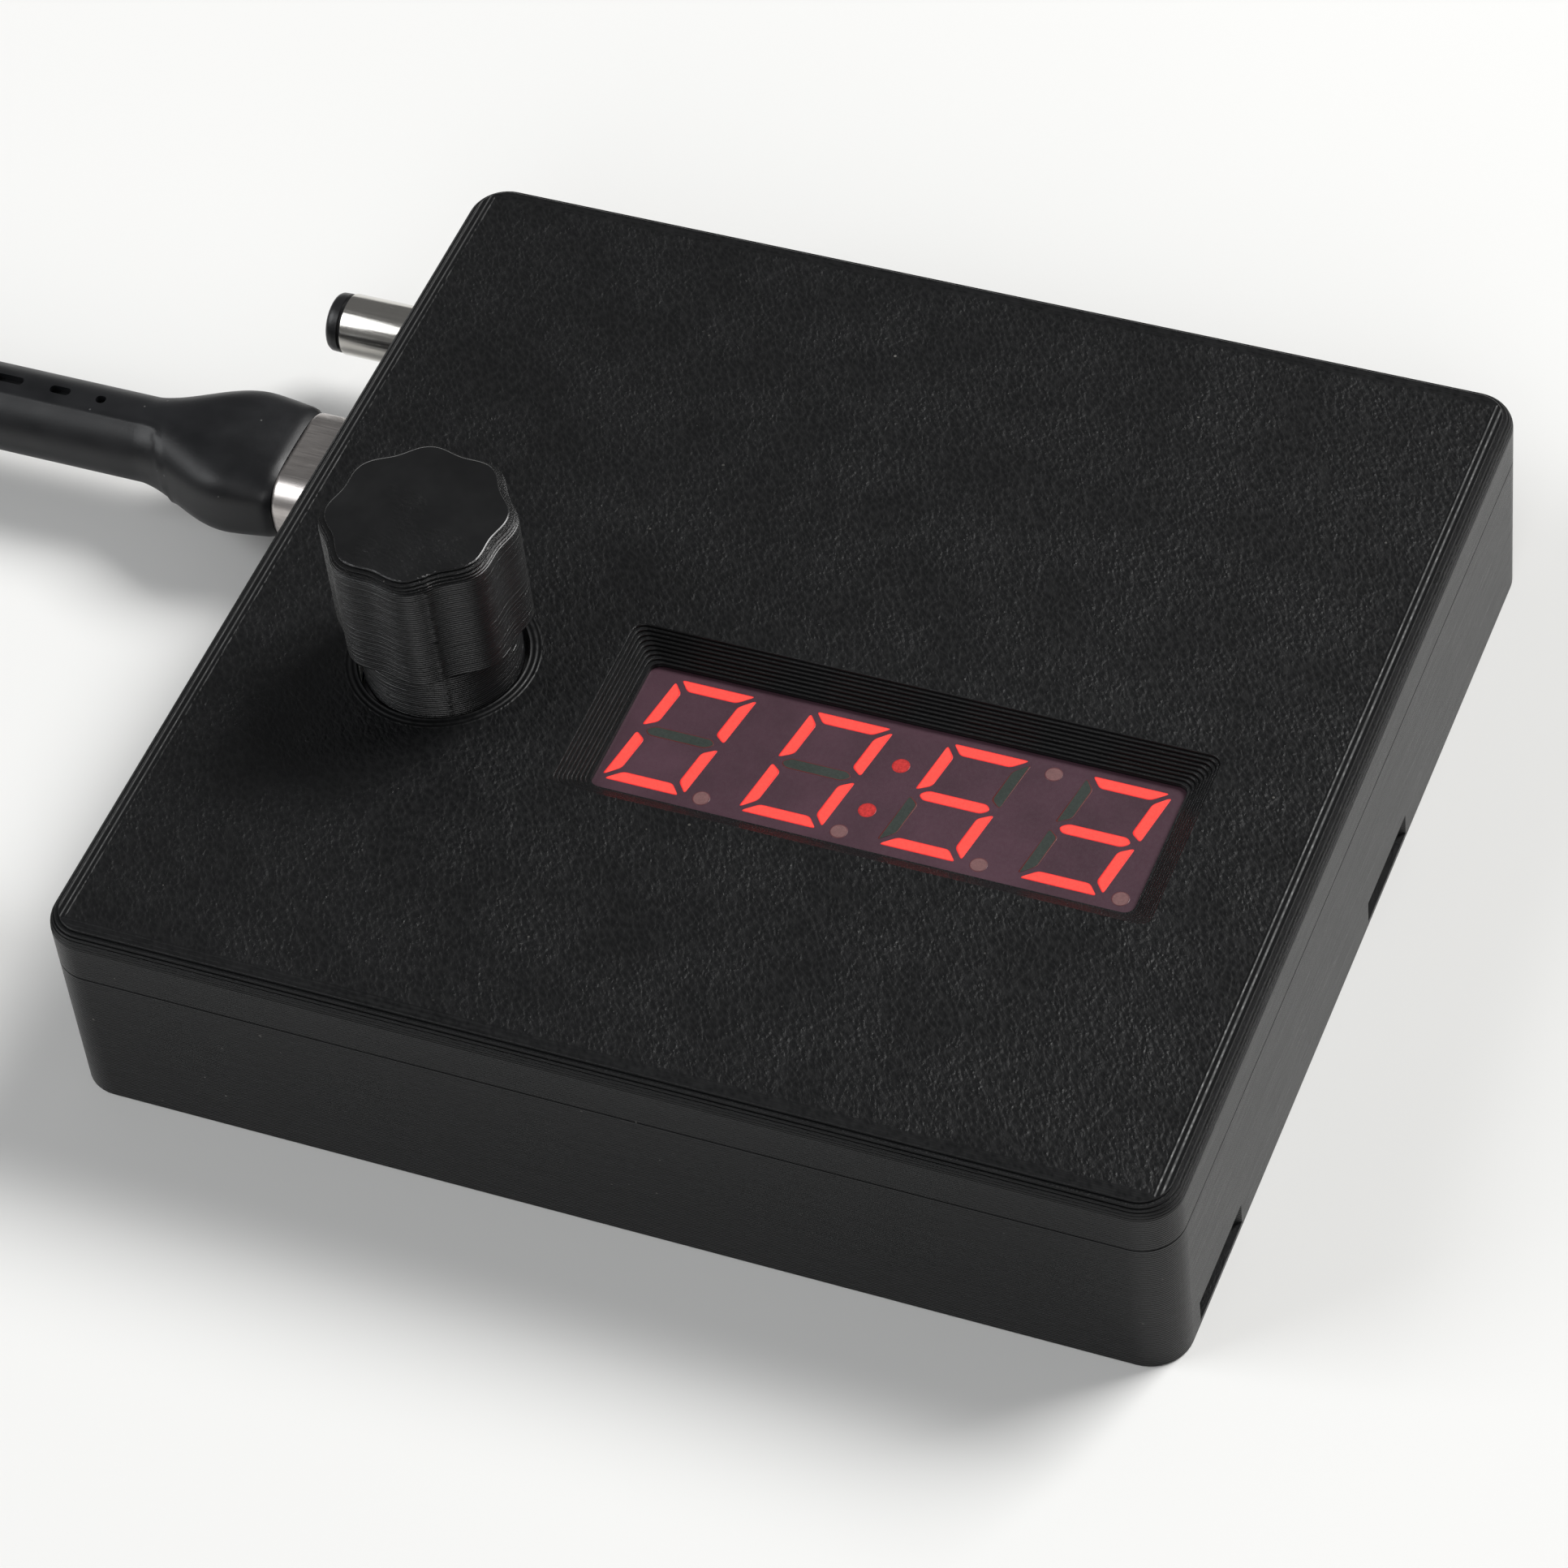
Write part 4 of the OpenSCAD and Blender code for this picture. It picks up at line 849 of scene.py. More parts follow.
@dataclass
class PowerCable:
    """The cable from its moulded plug to a tied coil and a plug at its far end, with both plugs."""

    diameter: float = 3.8
    run: tuple[Flat, ...] = (
        (-85, 6.2), (-88, 6.2), (-91, 5.8), (-94, 5.1), (-97, 4.2), (-100, 3.3), (-103, 2.6), (-107, 2.2),
        (-111, 2.05), (-115, 2.05),
    )
    end: tuple[Flat, ...] = (
        (-115, 5.95), (-111, 5.9), (-107, 5.5), (-104, 5), (-101, 4.4), (-97.5, 4), (-94, 4),
    )
    coil_middle: Flat = (-120.0, -10.3)
    coil_radius: float = 25.7
    turns_wide: int = 4
    layer_heights: Flat = (2.05, 5.9)
    pitch: float = 3.83
    turns: float = 7.5
    climb: float = 0.5
    step_over: float = 0.62
    turn_points: int = 48
    plug_y: float = 15.4
    plug_z: float = 6.23
    collar_x: float = -47.4
    moulding: float = 37.6
    tail: float = 3.3
    collar: Flat = (10.4, 6.1)
    far_y: float = -36.0
    far_z: float = 4.0
    far_shell: Flat = (12.0, 4.5)

    def coil_points(self) -> list[Point]:
        """Winds the coil: inwards on the bottom layer, then back out on top of it.

        Returns:
            The points of its centreline, from where the cable comes in to where it leaves.
        """
        most = self.turns_wide - 1
        inner = self.coil_radius - self.pitch * most
        low, high = self.layer_heights
        x, y = self.coil_middle
        climb_from = self.turns_wide - 0.25
        points: list[Point] = []
        for step in range(int(self.turns * self.turn_points) + 1):
            turn = step / self.turn_points
            if turn < climb_from:
                radius, z = self.coil_radius - self.pitch * self.shelf(turn, most), low
            else:
                out = turn - climb_from
                z = low + (high - low) * smooth_step(0.0, self.climb, out)
                radius = inner + self.pitch * self.shelf(max(0.0, out - 0.45), most)
            angle = math.radians(90) + math.tau * turn
            points.append((x + radius * math.cos(angle), y + radius * math.sin(angle), z))
        return points

    def shelf(self, turn: float, most: int) -> float:
        """Returns how many pitches the winding has moved over: it steps over late in each turn."""
        whole = min(int(turn), most)
        part = smooth_step(self.step_over, 1.0, turn - whole) if whole < most else 0.0
        return whole + part

    def route(self) -> list[Point]:
        """Returns the whole centreline, smoothed where the cable lies free."""
        free_in = [(x, self.plug_y, z) for x, z in self.run]
        free_out = [(x, self.far_y, z) for x, z in self.end]
        return self.soften(free_in, 3) + self.coil_points() + self.soften(free_out, 3)

    def soften(self, points: Sequence[Point], steps: int) -> list[Point]:
        """Puts points between the given ones on a smooth line through them.

        Args:
            points: the points to pass through.
            steps: number of points for each stretch.

        Returns:
            The finer line.
        """
        line: list[Point] = []
        for i in range(len(points) - 1):
            a = Vector(points[max(0, i - 1)])
            b, c = Vector(points[i]), Vector(points[i + 1])
            d = Vector(points[min(len(points) - 1, i + 2)])
            for step in range(steps):
                t = step / steps
                place = 0.5 * (
                    2 * b + (c - a) * t + (2 * a - 5 * b + 4 * c - d) * t * t
                    + (3 * b - a - 3 * c + d) * t ** 3
                )
                line.append(tuple(place))
        line.append(tuple(points[-1]))
        return line

    def length(self) -> float:
        """Returns the centreline's length in metres."""
        route = [Vector(p) for p in self.route()]
        return sum((b - a).length for a, b in zip(route, route[1:])) * MM

    def build_cord(self) -> bpy.types.Object:
        """Makes the cable itself as one round curve."""
        curve = bpy.data.curves.new("power_cord", "CURVE")
        curve.dimensions = "3D"
        curve.bevel_depth = self.diameter / 2 * MM
        curve.bevel_resolution = 7
        curve.use_fill_caps = True
        line = curve.splines.new("POLY")
        route = self.route()
        line.points.add(len(route) - 1)
        for point, place in zip(line.points, route):
            point.co = (place[0] * MM, place[1] * MM, place[2] * MM, 1.0)
        line.use_smooth = True
        piece = bpy.data.objects.new("power_cord", curve)
        bpy.context.scene.collection.objects.link(piece)
        return dress(piece, FINISHES["cable_black"], Body.CASE, ("cable_run", "cable_coil", "cable_end"))

    def moulding_half(self, share: float) -> tuple[float, float, float]:
        """Gives the moulding's cross-section.

        Args:
            share: the place along it, 0 at the collar and 1 at the tail.

        Returns:
            Its half width, half height and the power of its rounded square.
        """
        neck = 0.0
        if share < 0.33:
            neck = (1 + math.cos(math.pi * max(0.0, (share - 0.1) / 0.23))) / 2
        belly = math.sin(math.pi * share / 0.33) if share < 0.33 else 0.0
        width = self.tail + (self.collar[0] / 2 + 0.15 - self.tail) * neck + 0.5 * belly
        height = self.tail + (self.collar[1] / 2 + 0.1 - self.tail) * neck + 0.45 * belly
        if share > 0.9:
            drop = 1 - 0.22 * ((share - 0.9) / 0.1) ** 2
            width, height = width * drop, height * drop
        if share < 0.012:
            drop = 1 - 0.05 * (1 - share / 0.012)
            width, height = width * drop, height * drop
        return width, height, 2 + 1.2 * neck

    def build_moulding(self) -> None:
        """Makes the soft moulding: a swelling head, a round tail and a low ridge that runs along it."""
        sides = 96
        stations = 110
        rings: list[Ring] = []
        for k in range(stations + 1):
            share = 1 - k / stations
            width, height, power = self.moulding_half(share)
            ring: Ring = []
            x = self.collar_x - share * self.moulding
            for i in range(sides):
                angle = math.tau * i / sides
                c, s = math.cos(angle), math.sin(angle)
                y = width * math.copysign(abs(c) ** (2 / power), c)
                z = height * math.copysign(abs(s) ** (2 / power), s)
                ridge = self.ridge(math.degrees(angle), x)
                scale = 1 + ridge / math.hypot(y, z)
                ring.append((x, self.plug_y + y * scale, self.plug_z + z * scale))
            rings.append(ring)
        piece = Draft().loft(rings).make("plug_moulding_soft")
        carve(piece, [self.slot_cutter(a, b) for a, b in ((-72.8, -70.2), (-67.9, -66.2), (-64.0, -63.2))])
        settle(piece, FINISHES["plug_black"], Body.CASE, ("plug_moulding",), sharp=40)

    def ridge(self, angle: float, x: float) -> float:
        """Returns how far the low ridge stands out at an angle round the moulding."""
        bend_from, bend_to = -58.5, -55.2
        if x > bend_to:
            return 0.0
        bend = smooth_step(bend_from, bend_to, x)
        middle = 113.7 + bend * 150.0
        off = (angle - middle + 180) % 360 - 180
        width = 3.2 + 10.0 * math.sin(math.pi * bend)
        return 0.13 * math.exp(-(off / width) ** 2) * smooth_step(-85.5, -83.5, x)

    def slot_cutter(self, x0: float, x1: float) -> bpy.types.Object:
        """Returns a cutter for a small slot on top of the tail, between two places along X."""
        outline = round_outline(x1 - x0, 0.75, 0.33, 6)
        middle = ((x0 + x1) / 2, self.plug_y)
        top = self.plug_z + self.tail
        rings = [flat_ring(outline, middle, z) for z in (top - 0.65, top + 1.0)]
        return Draft().loft(rings).make("slot_cutter")

    def build_collar(self) -> None:
        """Makes the metal collar between the moulding and the wall, with softened ends and a folded seam."""
        profile = [(-39.0, 0.0), (-47.05, 0.0), (-47.25, 0.06), (-47.4, 0.22)]
        rings = []
        for x, inset in reversed(profile):
            outline = round_outline(self.collar[0] - 2 * inset, self.collar[1] - 2 * inset, 2.6 - inset, 12)
            rings.append(upright_ring(outline, x, (self.plug_y, self.plug_z)))
        piece = Draft().loft(rings).make("plug_collar_pressed")
        seam = Draft().loft([
            upright_ring(round_outline(0.12, 0.3, 0.03, 3), x, (self.plug_y + 1.1, self.plug_z - 3.05))
            for x in (-48.0, -38.0)
        ]).make("seam_cutter")
        carve(piece, [seam])
        settle(piece, FINISHES["collar_metal"], Body.CASE, ("plug_collar",))

    def build_tie(self) -> bpy.types.Object:
        """Makes the strap round the coil: a band with softened edges."""
        middle_x = self.coil_middle[0] - 20.0
        y = self.coil_middle[1]
        across = 15.7
        outer = round_outline(across + 1.6, 8.6, 1.0, 8)
        inner = round_outline(across, 7.6, 0.6, 8)

        def stand(outline: Sequence[Flat], at: float, z: float) -> Ring:
            """Stands an outline across the Y axis."""
            return [(middle_x + px, at, z + pz) for px, pz in reversed(outline)]

        half = 1.9
        rings = [stand(outer, y - half, 4.3), stand(outer, y + half, 4.3)]
        rings += [stand(inner, y + half, 4.0), stand(inner, y - half, 4.0)]
        piece = Draft().loft(rings, hollow=True).make("cable_tie_strap")
        bevel = piece.modifiers.new("soft_edge", "BEVEL")
        bevel.width = 0.12
        bevel.segments = 2
        return settle(piece, FINISHES["cable_black"], Body.CASE, ("cable_tie",))

    def build_far_plug(self) -> list[bpy.types.Object]:
        """Makes the far plug's moulding, with a ribbed tail and thumb grips, and its pressed shell."""
        middle = (self.far_y, self.far_z)
        stations: list[tuple[float, float, float, float]] = [
            (-94.0, 5.0, 5.0, 2.2), (-93.8, 5.7, 5.7, 2.3), (-93.3, 6.0, 6.0, 2.4), (-92.3, 6.0, 6.0, 2.4),
            (-92.2, 4.9, 4.9, 2.2), (-91.4, 4.9, 4.9, 2.2), (-91.3, 6.0, 6.0, 2.4), (-90.2, 6.0, 6.0, 2.4),
            (-90.1, 4.9, 4.9, 2.2), (-89.3, 4.9, 4.9, 2.2), (-89.2, 6.0, 6.0, 2.4), (-88.1, 6.0, 6.0, 2.4),
            (-88.0, 5.4, 5.4, 2.3), (-86.2, 5.9, 5.9, 2.4), (-86.0, 9.5, 6.6, 2.0), (-85.5, 13.2, 7.5, 2.0),
            (-84.7, 14.6, 7.9, 2.0), (-83.6, 15.0, 8.0, 2.0),
        ]
        for groove in range(5):
            x = -82.4 + 1.7 * groove
            stations += [(x, 15.0, 8.0, 2.0), (x + 0.2, 14.3, 8.0, 2.0), (x + 0.9, 14.3, 8.0, 2.0)]
            stations.append((x + 1.1, 15.0, 8.0, 2.0))
        stations += [(-70.6, 15.0, 8.0, 2.0), (-70.15, 14.8, 7.8, 1.95), (-70.0, 14.3, 7.3, 1.8)]
        rings: list[Ring] = []
        for x, width, height, radius in stations:
            most = min(radius, width / 2 - 0.05, height / 2 - 0.05)
            rings.append(upright_ring(round_outline(width, height, most, 10), x, middle))
        body = Draft().loft(rings).make("far_plug_body")
        settle(body, FINISHES["plug_black"], Body.CASE, ("far_plug_moulding",), 25)
        wide, high = self.far_shell
        shell_steps = (
            (-70.0, 0.0, 0.5), (-58.15, 0.0, 0.5), (-58.0, 0.2, 0.45), (-58.0, 0.6, 0.3), (-69.5, 0.6, 0.3),
        )
        shell = Draft().loft([
            upright_ring(round_outline(wide - less, high - less, radius, 6), x, middle)
            for x, less, radius in shell_steps
        ]).make("far_plug_pressed_shell")
        span = (self.far_z + 1.5, self.far_z + 3)
        carve(shell, [
            slab("window_cutter", 2.4, 2.2, 0.15, (-63.5, self.far_y + side * 2.9), span) for side in (-1, 1)
        ])
        settle(shell, FINISHES["collar_metal"], Body.CASE, ("far_plug_shell",))
        return [body, shell]

    def build(self) -> None:
        cord = self.build_cord()
        self.build_moulding()
        self.build_collar()
        tie = self.build_tie()
        far = self.build_far_plug()
        LOG.info("power cable: %.3f m long", self.length())


# ---------------------------------------------------------------- case


def smooth_step(low: float, high: float, value: float) -> float:
    """Returns 0 below low, 1 above high and a smooth rise between them."""
    share = min(1.0, max(0.0, (value - low) / (high - low)))
    return share * share * (3 - 2 * share)


def round_inset(number: int, count: int, layer: float) -> float:
    """Returns how far a printed layer steps back on an edge that is rounded over some layers."""
    return count * layer * (1 - math.sqrt(1 - ((number + 0.5) / count) ** 2))


@dataclass
class Wobble:
    """The small waviness that each printed layer has along its outline."""

    seed: int
    size: float
    waves: tuple[int, ...] = (3, 7, 13, 29)

    def line(self) -> Callable[[float], float]:
        """Returns the next layer's offset as a function of the place round it, from 0 to 1."""
        source = random.Random(self.seed)
        self.seed += 1
        parts = [
            (n, source.uniform(0, math.tau), source.uniform(0.3, 1.0) / math.sqrt(n)) for n in self.waves
        ]
        return lambda place: self.size * sum(a * math.sin(math.tau * n * place + p) for n, p, a in parts)


@dataclass
class Case:
    """The printed case: a base, and a lid with a stepped round edge, a bevelled window and the knob's hole.

    The bead profiles give places up a printed layer with how far its side lies back there.
    """

    width: float = 82.0
    depth: float = 78.0
    height: float = 17.0
    seam: float = 12.6
    under: float = 15.0
    corner: float = 3.0
    layer: float = LAYER
    edge_layers: int = 6
    bevel_layers: int = 8
    bevel_step: float = 0.225
    plain: tuple[Flat, ...] = ((0.0, 0.0), (0.2, 0.0))
    parting: tuple[Flat, ...] = ((0.0, 0.09), (0.05, 0.07), (0.09, 0.0), (0.2, 0.0))
    edge_bead: tuple[Flat, ...] = ((0.0, 0.0), (0.12, 0.0), (0.17, 0.02), (0.2, 0.07))
    bevel_bead: tuple[Flat, ...] = ((0.0, 0.0), (0.11, 0.0), (0.16, 0.022), (0.2, 0.075))
    window: tuple[float, float, float, float] = (9.75, -8.2, 40.0, 12.1)
    hole: tuple[float, float, float] = (-24.1, -7.2, 6.05)

    def outer_rings(self) -> list[Ring]:
        """Returns the rings of the lid's outside, from the seam to the top."""
        rings: list[Ring] = []
        count = round((self.height - self.seam) / self.layer)
        wobble = Wobble(11, 0.008)
        for number in range(count):
            z = self.seam + number * self.layer
            rounded = number - (count - self.edge_layers)
            inset, off, steps = 0.0, None, self.parting if number == 0 else self.plain
            if rounded >= 0:
                inset = round_inset(rounded, self.edge_layers, self.layer)
                off, steps = wobble.line(), self.edge_bead
            for up, back in steps:
                rings.append(self.outline_ring(inset + back, z + up, off))
        return rings

    def outline_ring(self, inset: float, z: float, off: Callable[[float], float] | None) -> Ring:
        """Returns the case's outline, moved in by an inset and, where there is one, an offset along it."""
        radius = self.corner - inset
        outline = round_outline(self.width - 2 * inset, self.depth - 2 * inset, radius, 10, (40, 40))
        count = len(outline)
        ring: Ring = []
        for i, (x, y) in enumerate(outline):
            shift = max(0.0, off(i / count)) if off else 0.0
            scale = 1 - shift / math.hypot(x, y)
            ring.append((x * scale, y * scale, z))
        return ring

    def window_cutter(self) -> bpy.types.Object:
        """Makes the window's shape: a straight opening under steps with rounded, slightly uneven edges."""
        wobble = Wobble(71, 0.013, (2, 5, 11, 23, 41))
        start = self.height - self.bevel_layers * self.layer
        rings = [self.window_ring(0.0, z, None) for z in (self.under - 1.0, start)]
        for number in range(self.bevel_layers):
            z = start + number * self.layer
            grow = self.bevel_step * (number + 1)
            off = wobble.line()
            for up, back in self.bevel_bead:
                rings.append(self.window_ring(grow + back, z + up, off))
        widest = self.bevel_step * self.bevel_layers + self.bevel_bead[-1][1]
        rings.append(self.window_ring(widest, self.height + 1, None))
        return Draft().loft(rings).make("window_cutter")

    def window_ring(self, grow: float, z: float, off: Callable[[float], float] | None) -> Ring:
        """Returns one ring of the window, grown by some millimetres and by a small offset along it."""
        x, y, width, depth = self.window
        outline = round_outline(width + 2 * grow, depth + 2 * grow, 0.8, 6, (60, 24))
        count = len(outline)
        ring: Ring = []
        for i, (px, py) in enumerate(outline):
            shift = off(i / count) if off else 0.0
            ring.append((
                x + px + math.copysign(shift, px) * (abs(px) > width / 2),
                y + py + math.copysign(shift, py) * (abs(py) > depth / 2), z,
            ))
        return ring

    def build_lid(self) -> None:
        """Makes the lid: its outside, hollowed and pierced, with the inner parts of the frame's own lid."""
        lid = Draft().loft(self.outer_rings()).make("lid_printed")
        x, y, radius = self.hole
        hole = turned("hole_cutter", Axis.Z, (x, y), [
            (self.under - 1, radius), (16.6, radius), (16.8, radius + 0.02), (16.93, radius + 0.06),
            (17.0, radius + 0.14), (18.0, radius + 0.14),
        ], 96)
        carve(lid, [
            slab("cavity_cutter", 77.2, 73.2, 0.6, (0, 0), (self.seam - 1, self.under)),
            slab("recess_cutter", 79.7, 75.7, 1.85, (0, 0), (self.seam - 1, 14.25)),
            self.window_cutter(), hole,
        ])
        posts = node_copy("lid_shell")
        carve(posts, [slab("inner_block", 77.0, 73.0, 0.5, (0, 0), (0, self.under))], Cut.KEEP_SHARED)
        draft = Draft().add_mesh(lid.data).add_mesh(posts.data)
        bpy.data.objects.remove(posts)
        bpy.data.objects.remove(lid)
        settle(draft.make("lid_printed"), self.finish(), Body.CASE, ("lid_shell",), 42, level=True)

    def finish(self) -> PrintedCase:
        """Returns the case's plastic, which knows where the lid's edge and the knob's hole are."""
        x, y, radius = self.hole
        return PrintedCase(
            "case_plastic", BLACK_PRINT, 0.36, specular=0.24, knob=(x, y, radius + 0.1),
            lid=(self.width - 1.6, self.depth - 1.6, self.height),
        )

    def build(self) -> None:
        """Makes the lid and dresses the base."""
        self.build_lid()
        dress_node("base_shell", self.finish())


# ---------------------------------------------------------------- display


class Lamp(Enum):
    """The states of a display filling, each with the piece that holds it."""

    LIT = "lit_segments"
    DARK = "unlit_segments"
    COLON = "colon_dots"
    POINT = "unlit_dots"


@dataclass
class Display:
    """Four seven-segment digits and a colon, let into a dark face."""

    middle: Flat = (9.75, -8.2)
    housing: Flat = (40.7, 12.8)
    foot: float = 8.0
    face: float = 15.0
    proud: float = 0.015
    pitch: float = 10.24
    digit: Flat = (6.2, 10.16)
    bar: float = 0.94
    level: float = 0.94
    gap: float = 0.3
    slant: float = 10.0
    dot: float = 1.3
    colon: float = 2.25
    point: Flat = (3.3, 0.45)
    depth: float = 0.1
    shift: float = -0.25
    lift: float = 0.2
    rounding: float = 0.3
    figures: tuple[str, ...] = ("abcdef", "abcdef", "acdfg", "abcdg")

    def lean(self, x: float, y: float) -> Flat:
        """Returns a point of a digit leant to the right."""
        return x + y * math.tan(math.radians(self.slant)), y

    def outlines(self) -> dict[str, list[Flat]]:
        """Returns each segment's outline round its digit's middle, by its letter."""
        w, h = self.digit[0] / 2, self.digit[1] / 2
        tip = w - self.bar / 2
        side = tip - self.level / 2
        level = [
            (w - self.gap, h), (self.gap - w, h),
            (self.gap + self.bar - w, h - self.level), (w - self.bar - self.gap, h - self.level),
        ]
        upright = [
            (w, self.gap), (w, h - self.gap),
            (w - self.bar, h - self.level - self.gap), (w - self.bar, self.level),
        ]
        middle = [(tip, 0.0), (side, self.level / 2), (-side, self.level / 2)]
        middle += [(-x, -y) for x, y in middle]
        places = {
            "a": (level, 1, 1), "b": (upright, 1, 1), "c": (upright, 1, -1), "d": (level, 1, -1),
            "e": (upright, -1, -1), "f": (upright, -1, 1), "g": (middle, 1, 1),
        }
        return {letter: [(x * across, y * up) for x, y in corners][::across * up]
                for letter, (corners, across, up) in places.items()}

    def bars(self) -> Iterator[tuple[bool, list[Flat]]]:
        """Yields each segment: whether it is lit, and its outline, leant and with rounded corners."""
        for number, lit in enumerate(self.figures):
            at = (number - 1.5) * self.pitch + self.shift
            for letter, corners in self.outlines().items():
                leant = [self.lean(x, y) for x, y in round_corners(corners, self.rounding, 4)]
                yield letter in lit, [(at + x, self.lift + y) for x, y in leant]

    def dots(self) -> Iterator[tuple[Lamp, Flat]]:
        """Yields each dot's kind and middle."""
        for height in (-self.colon, self.colon):
            yield Lamp.COLON, self.lean(self.shift, height)
        across, up = self.point
        for number in range(len(self.figures)):
            yield Lamp.POINT, ((number - 1.5) * self.pitch + across, -self.digit[1] / 2 + up)
        yield Lamp.POINT, (self.pitch + 0.3, self.digit[1] / 2 - up)

    def filling(self, outline: Sequence[Flat]) -> tuple[list[Ring], list[float]]:
        """Gives a filling's rings, from its foot to its face.

        Args:
            outline: its outline round the display's middle.

        Returns:
            The rings and their marks: 1 at the rim and 0 inside it.
        """
        low = Vector((min(x for x, _ in outline), min(y for _, y in outline)))
        high = Vector((max(x for x, _ in outline), max(y for _, y in outline)))
        centre = (low + high) / 2
        width, height = high.x - low.x, high.y - low.y
        lying = width > height
        steps = (
            (0.0, -self.depth, 1.0), (0.0, -self.proud, 1.0), (0.02, 0.0, 1.0), (0.05, 0.0, 0.7),
            (0.1, 0.0, 0.0),
        )
        rings: list[Ring] = []
        for inset, z, _ in steps:
            share = (
                1 - inset / (width if lying else self.bar) * 2,
                1 - inset / (self.level if lying else height) * 2,
            )
            rings.append([
                (self.middle[0] + centre.x + (x - centre.x) * share[0],
                 self.middle[1] + centre.y + (y - centre.y) * share[1], self.face + z) for x, y in outline
            ])
        return rings, [step[2] for step in steps]

    def build_face(self) -> None:
        """Makes the housing: a block with softly rounded edges and a level face just under its fillings."""
        top = self.face - self.proud
        steps = ((0.0, self.foot), (0.0, top - 0.35), (0.05, top - 0.18), (0.15, top - 0.05), (0.3, top))
        rings: list[Ring] = []
        for inset, z in steps:
            outline = round_outline(self.housing[0] - 2 * inset, self.housing[1] - 2 * inset, 0.4, 5)
            rings.append(flat_ring(outline, self.middle, z))
        piece = Draft().loft(rings).make("display_face_block")
        settle(piece, FINISHES["display_face"], Body.CASE, ("display_housing",), level=True)

    def build(self) -> None:
        """Makes the housing and the fillings of each kind."""
        self.build_face()
        drafts = {lamp: Draft() for lamp in Lamp}
        for lit, outline in self.bars():
            drafts[Lamp.LIT if lit else Lamp.DARK].loft(*self.filling(outline))
        for lamp, (x, y) in self.dots():
            drafts[lamp].loft(*self.filling([(x + u, y + v) for u, v in circle(self.dot / 2 - 0.01, 32)]))
        slots = {
            Lamp.LIT: "lit_red", Lamp.DARK: "dark_segment", Lamp.COLON: "dim_red", Lamp.POINT: "dark_dot",
        }
        for lamp, draft in drafts.items():
            piece = draft.make(f"{lamp.value}_cast")
            settle(piece, FINISHES[slots[lamp]], Body.CASE, (lamp.value,), sharp=60)


def round_corners(corners: Sequence[Flat], radius: float, steps: int) -> list[Flat]:
    """Rounds the corners of an outline.

    Args:
        corners: its corners, counter-clockwise.
        radius: how far from each corner the rounding starts.
        steps: number of steps in each corner.

    Returns:
        The rounded outline.
    """
    points: list[Flat] = []
    count = len(corners)
    for i, corner in enumerate(corners):
        here = Vector(corner)
        before = (Vector(corners[i - 1]) - here).normalized() * radius
        after = (Vector(corners[(i + 1) % count]) - here).normalized() * radius
        for step in range(steps + 1):
            t = step / steps
            place = (1 - t) ** 2 * (here + before) + 2 * t * (1 - t) * here + t * t * (here + after)
            points.append((place.x, place.y))
    return points


# ---------------------------------------------------------------- knob


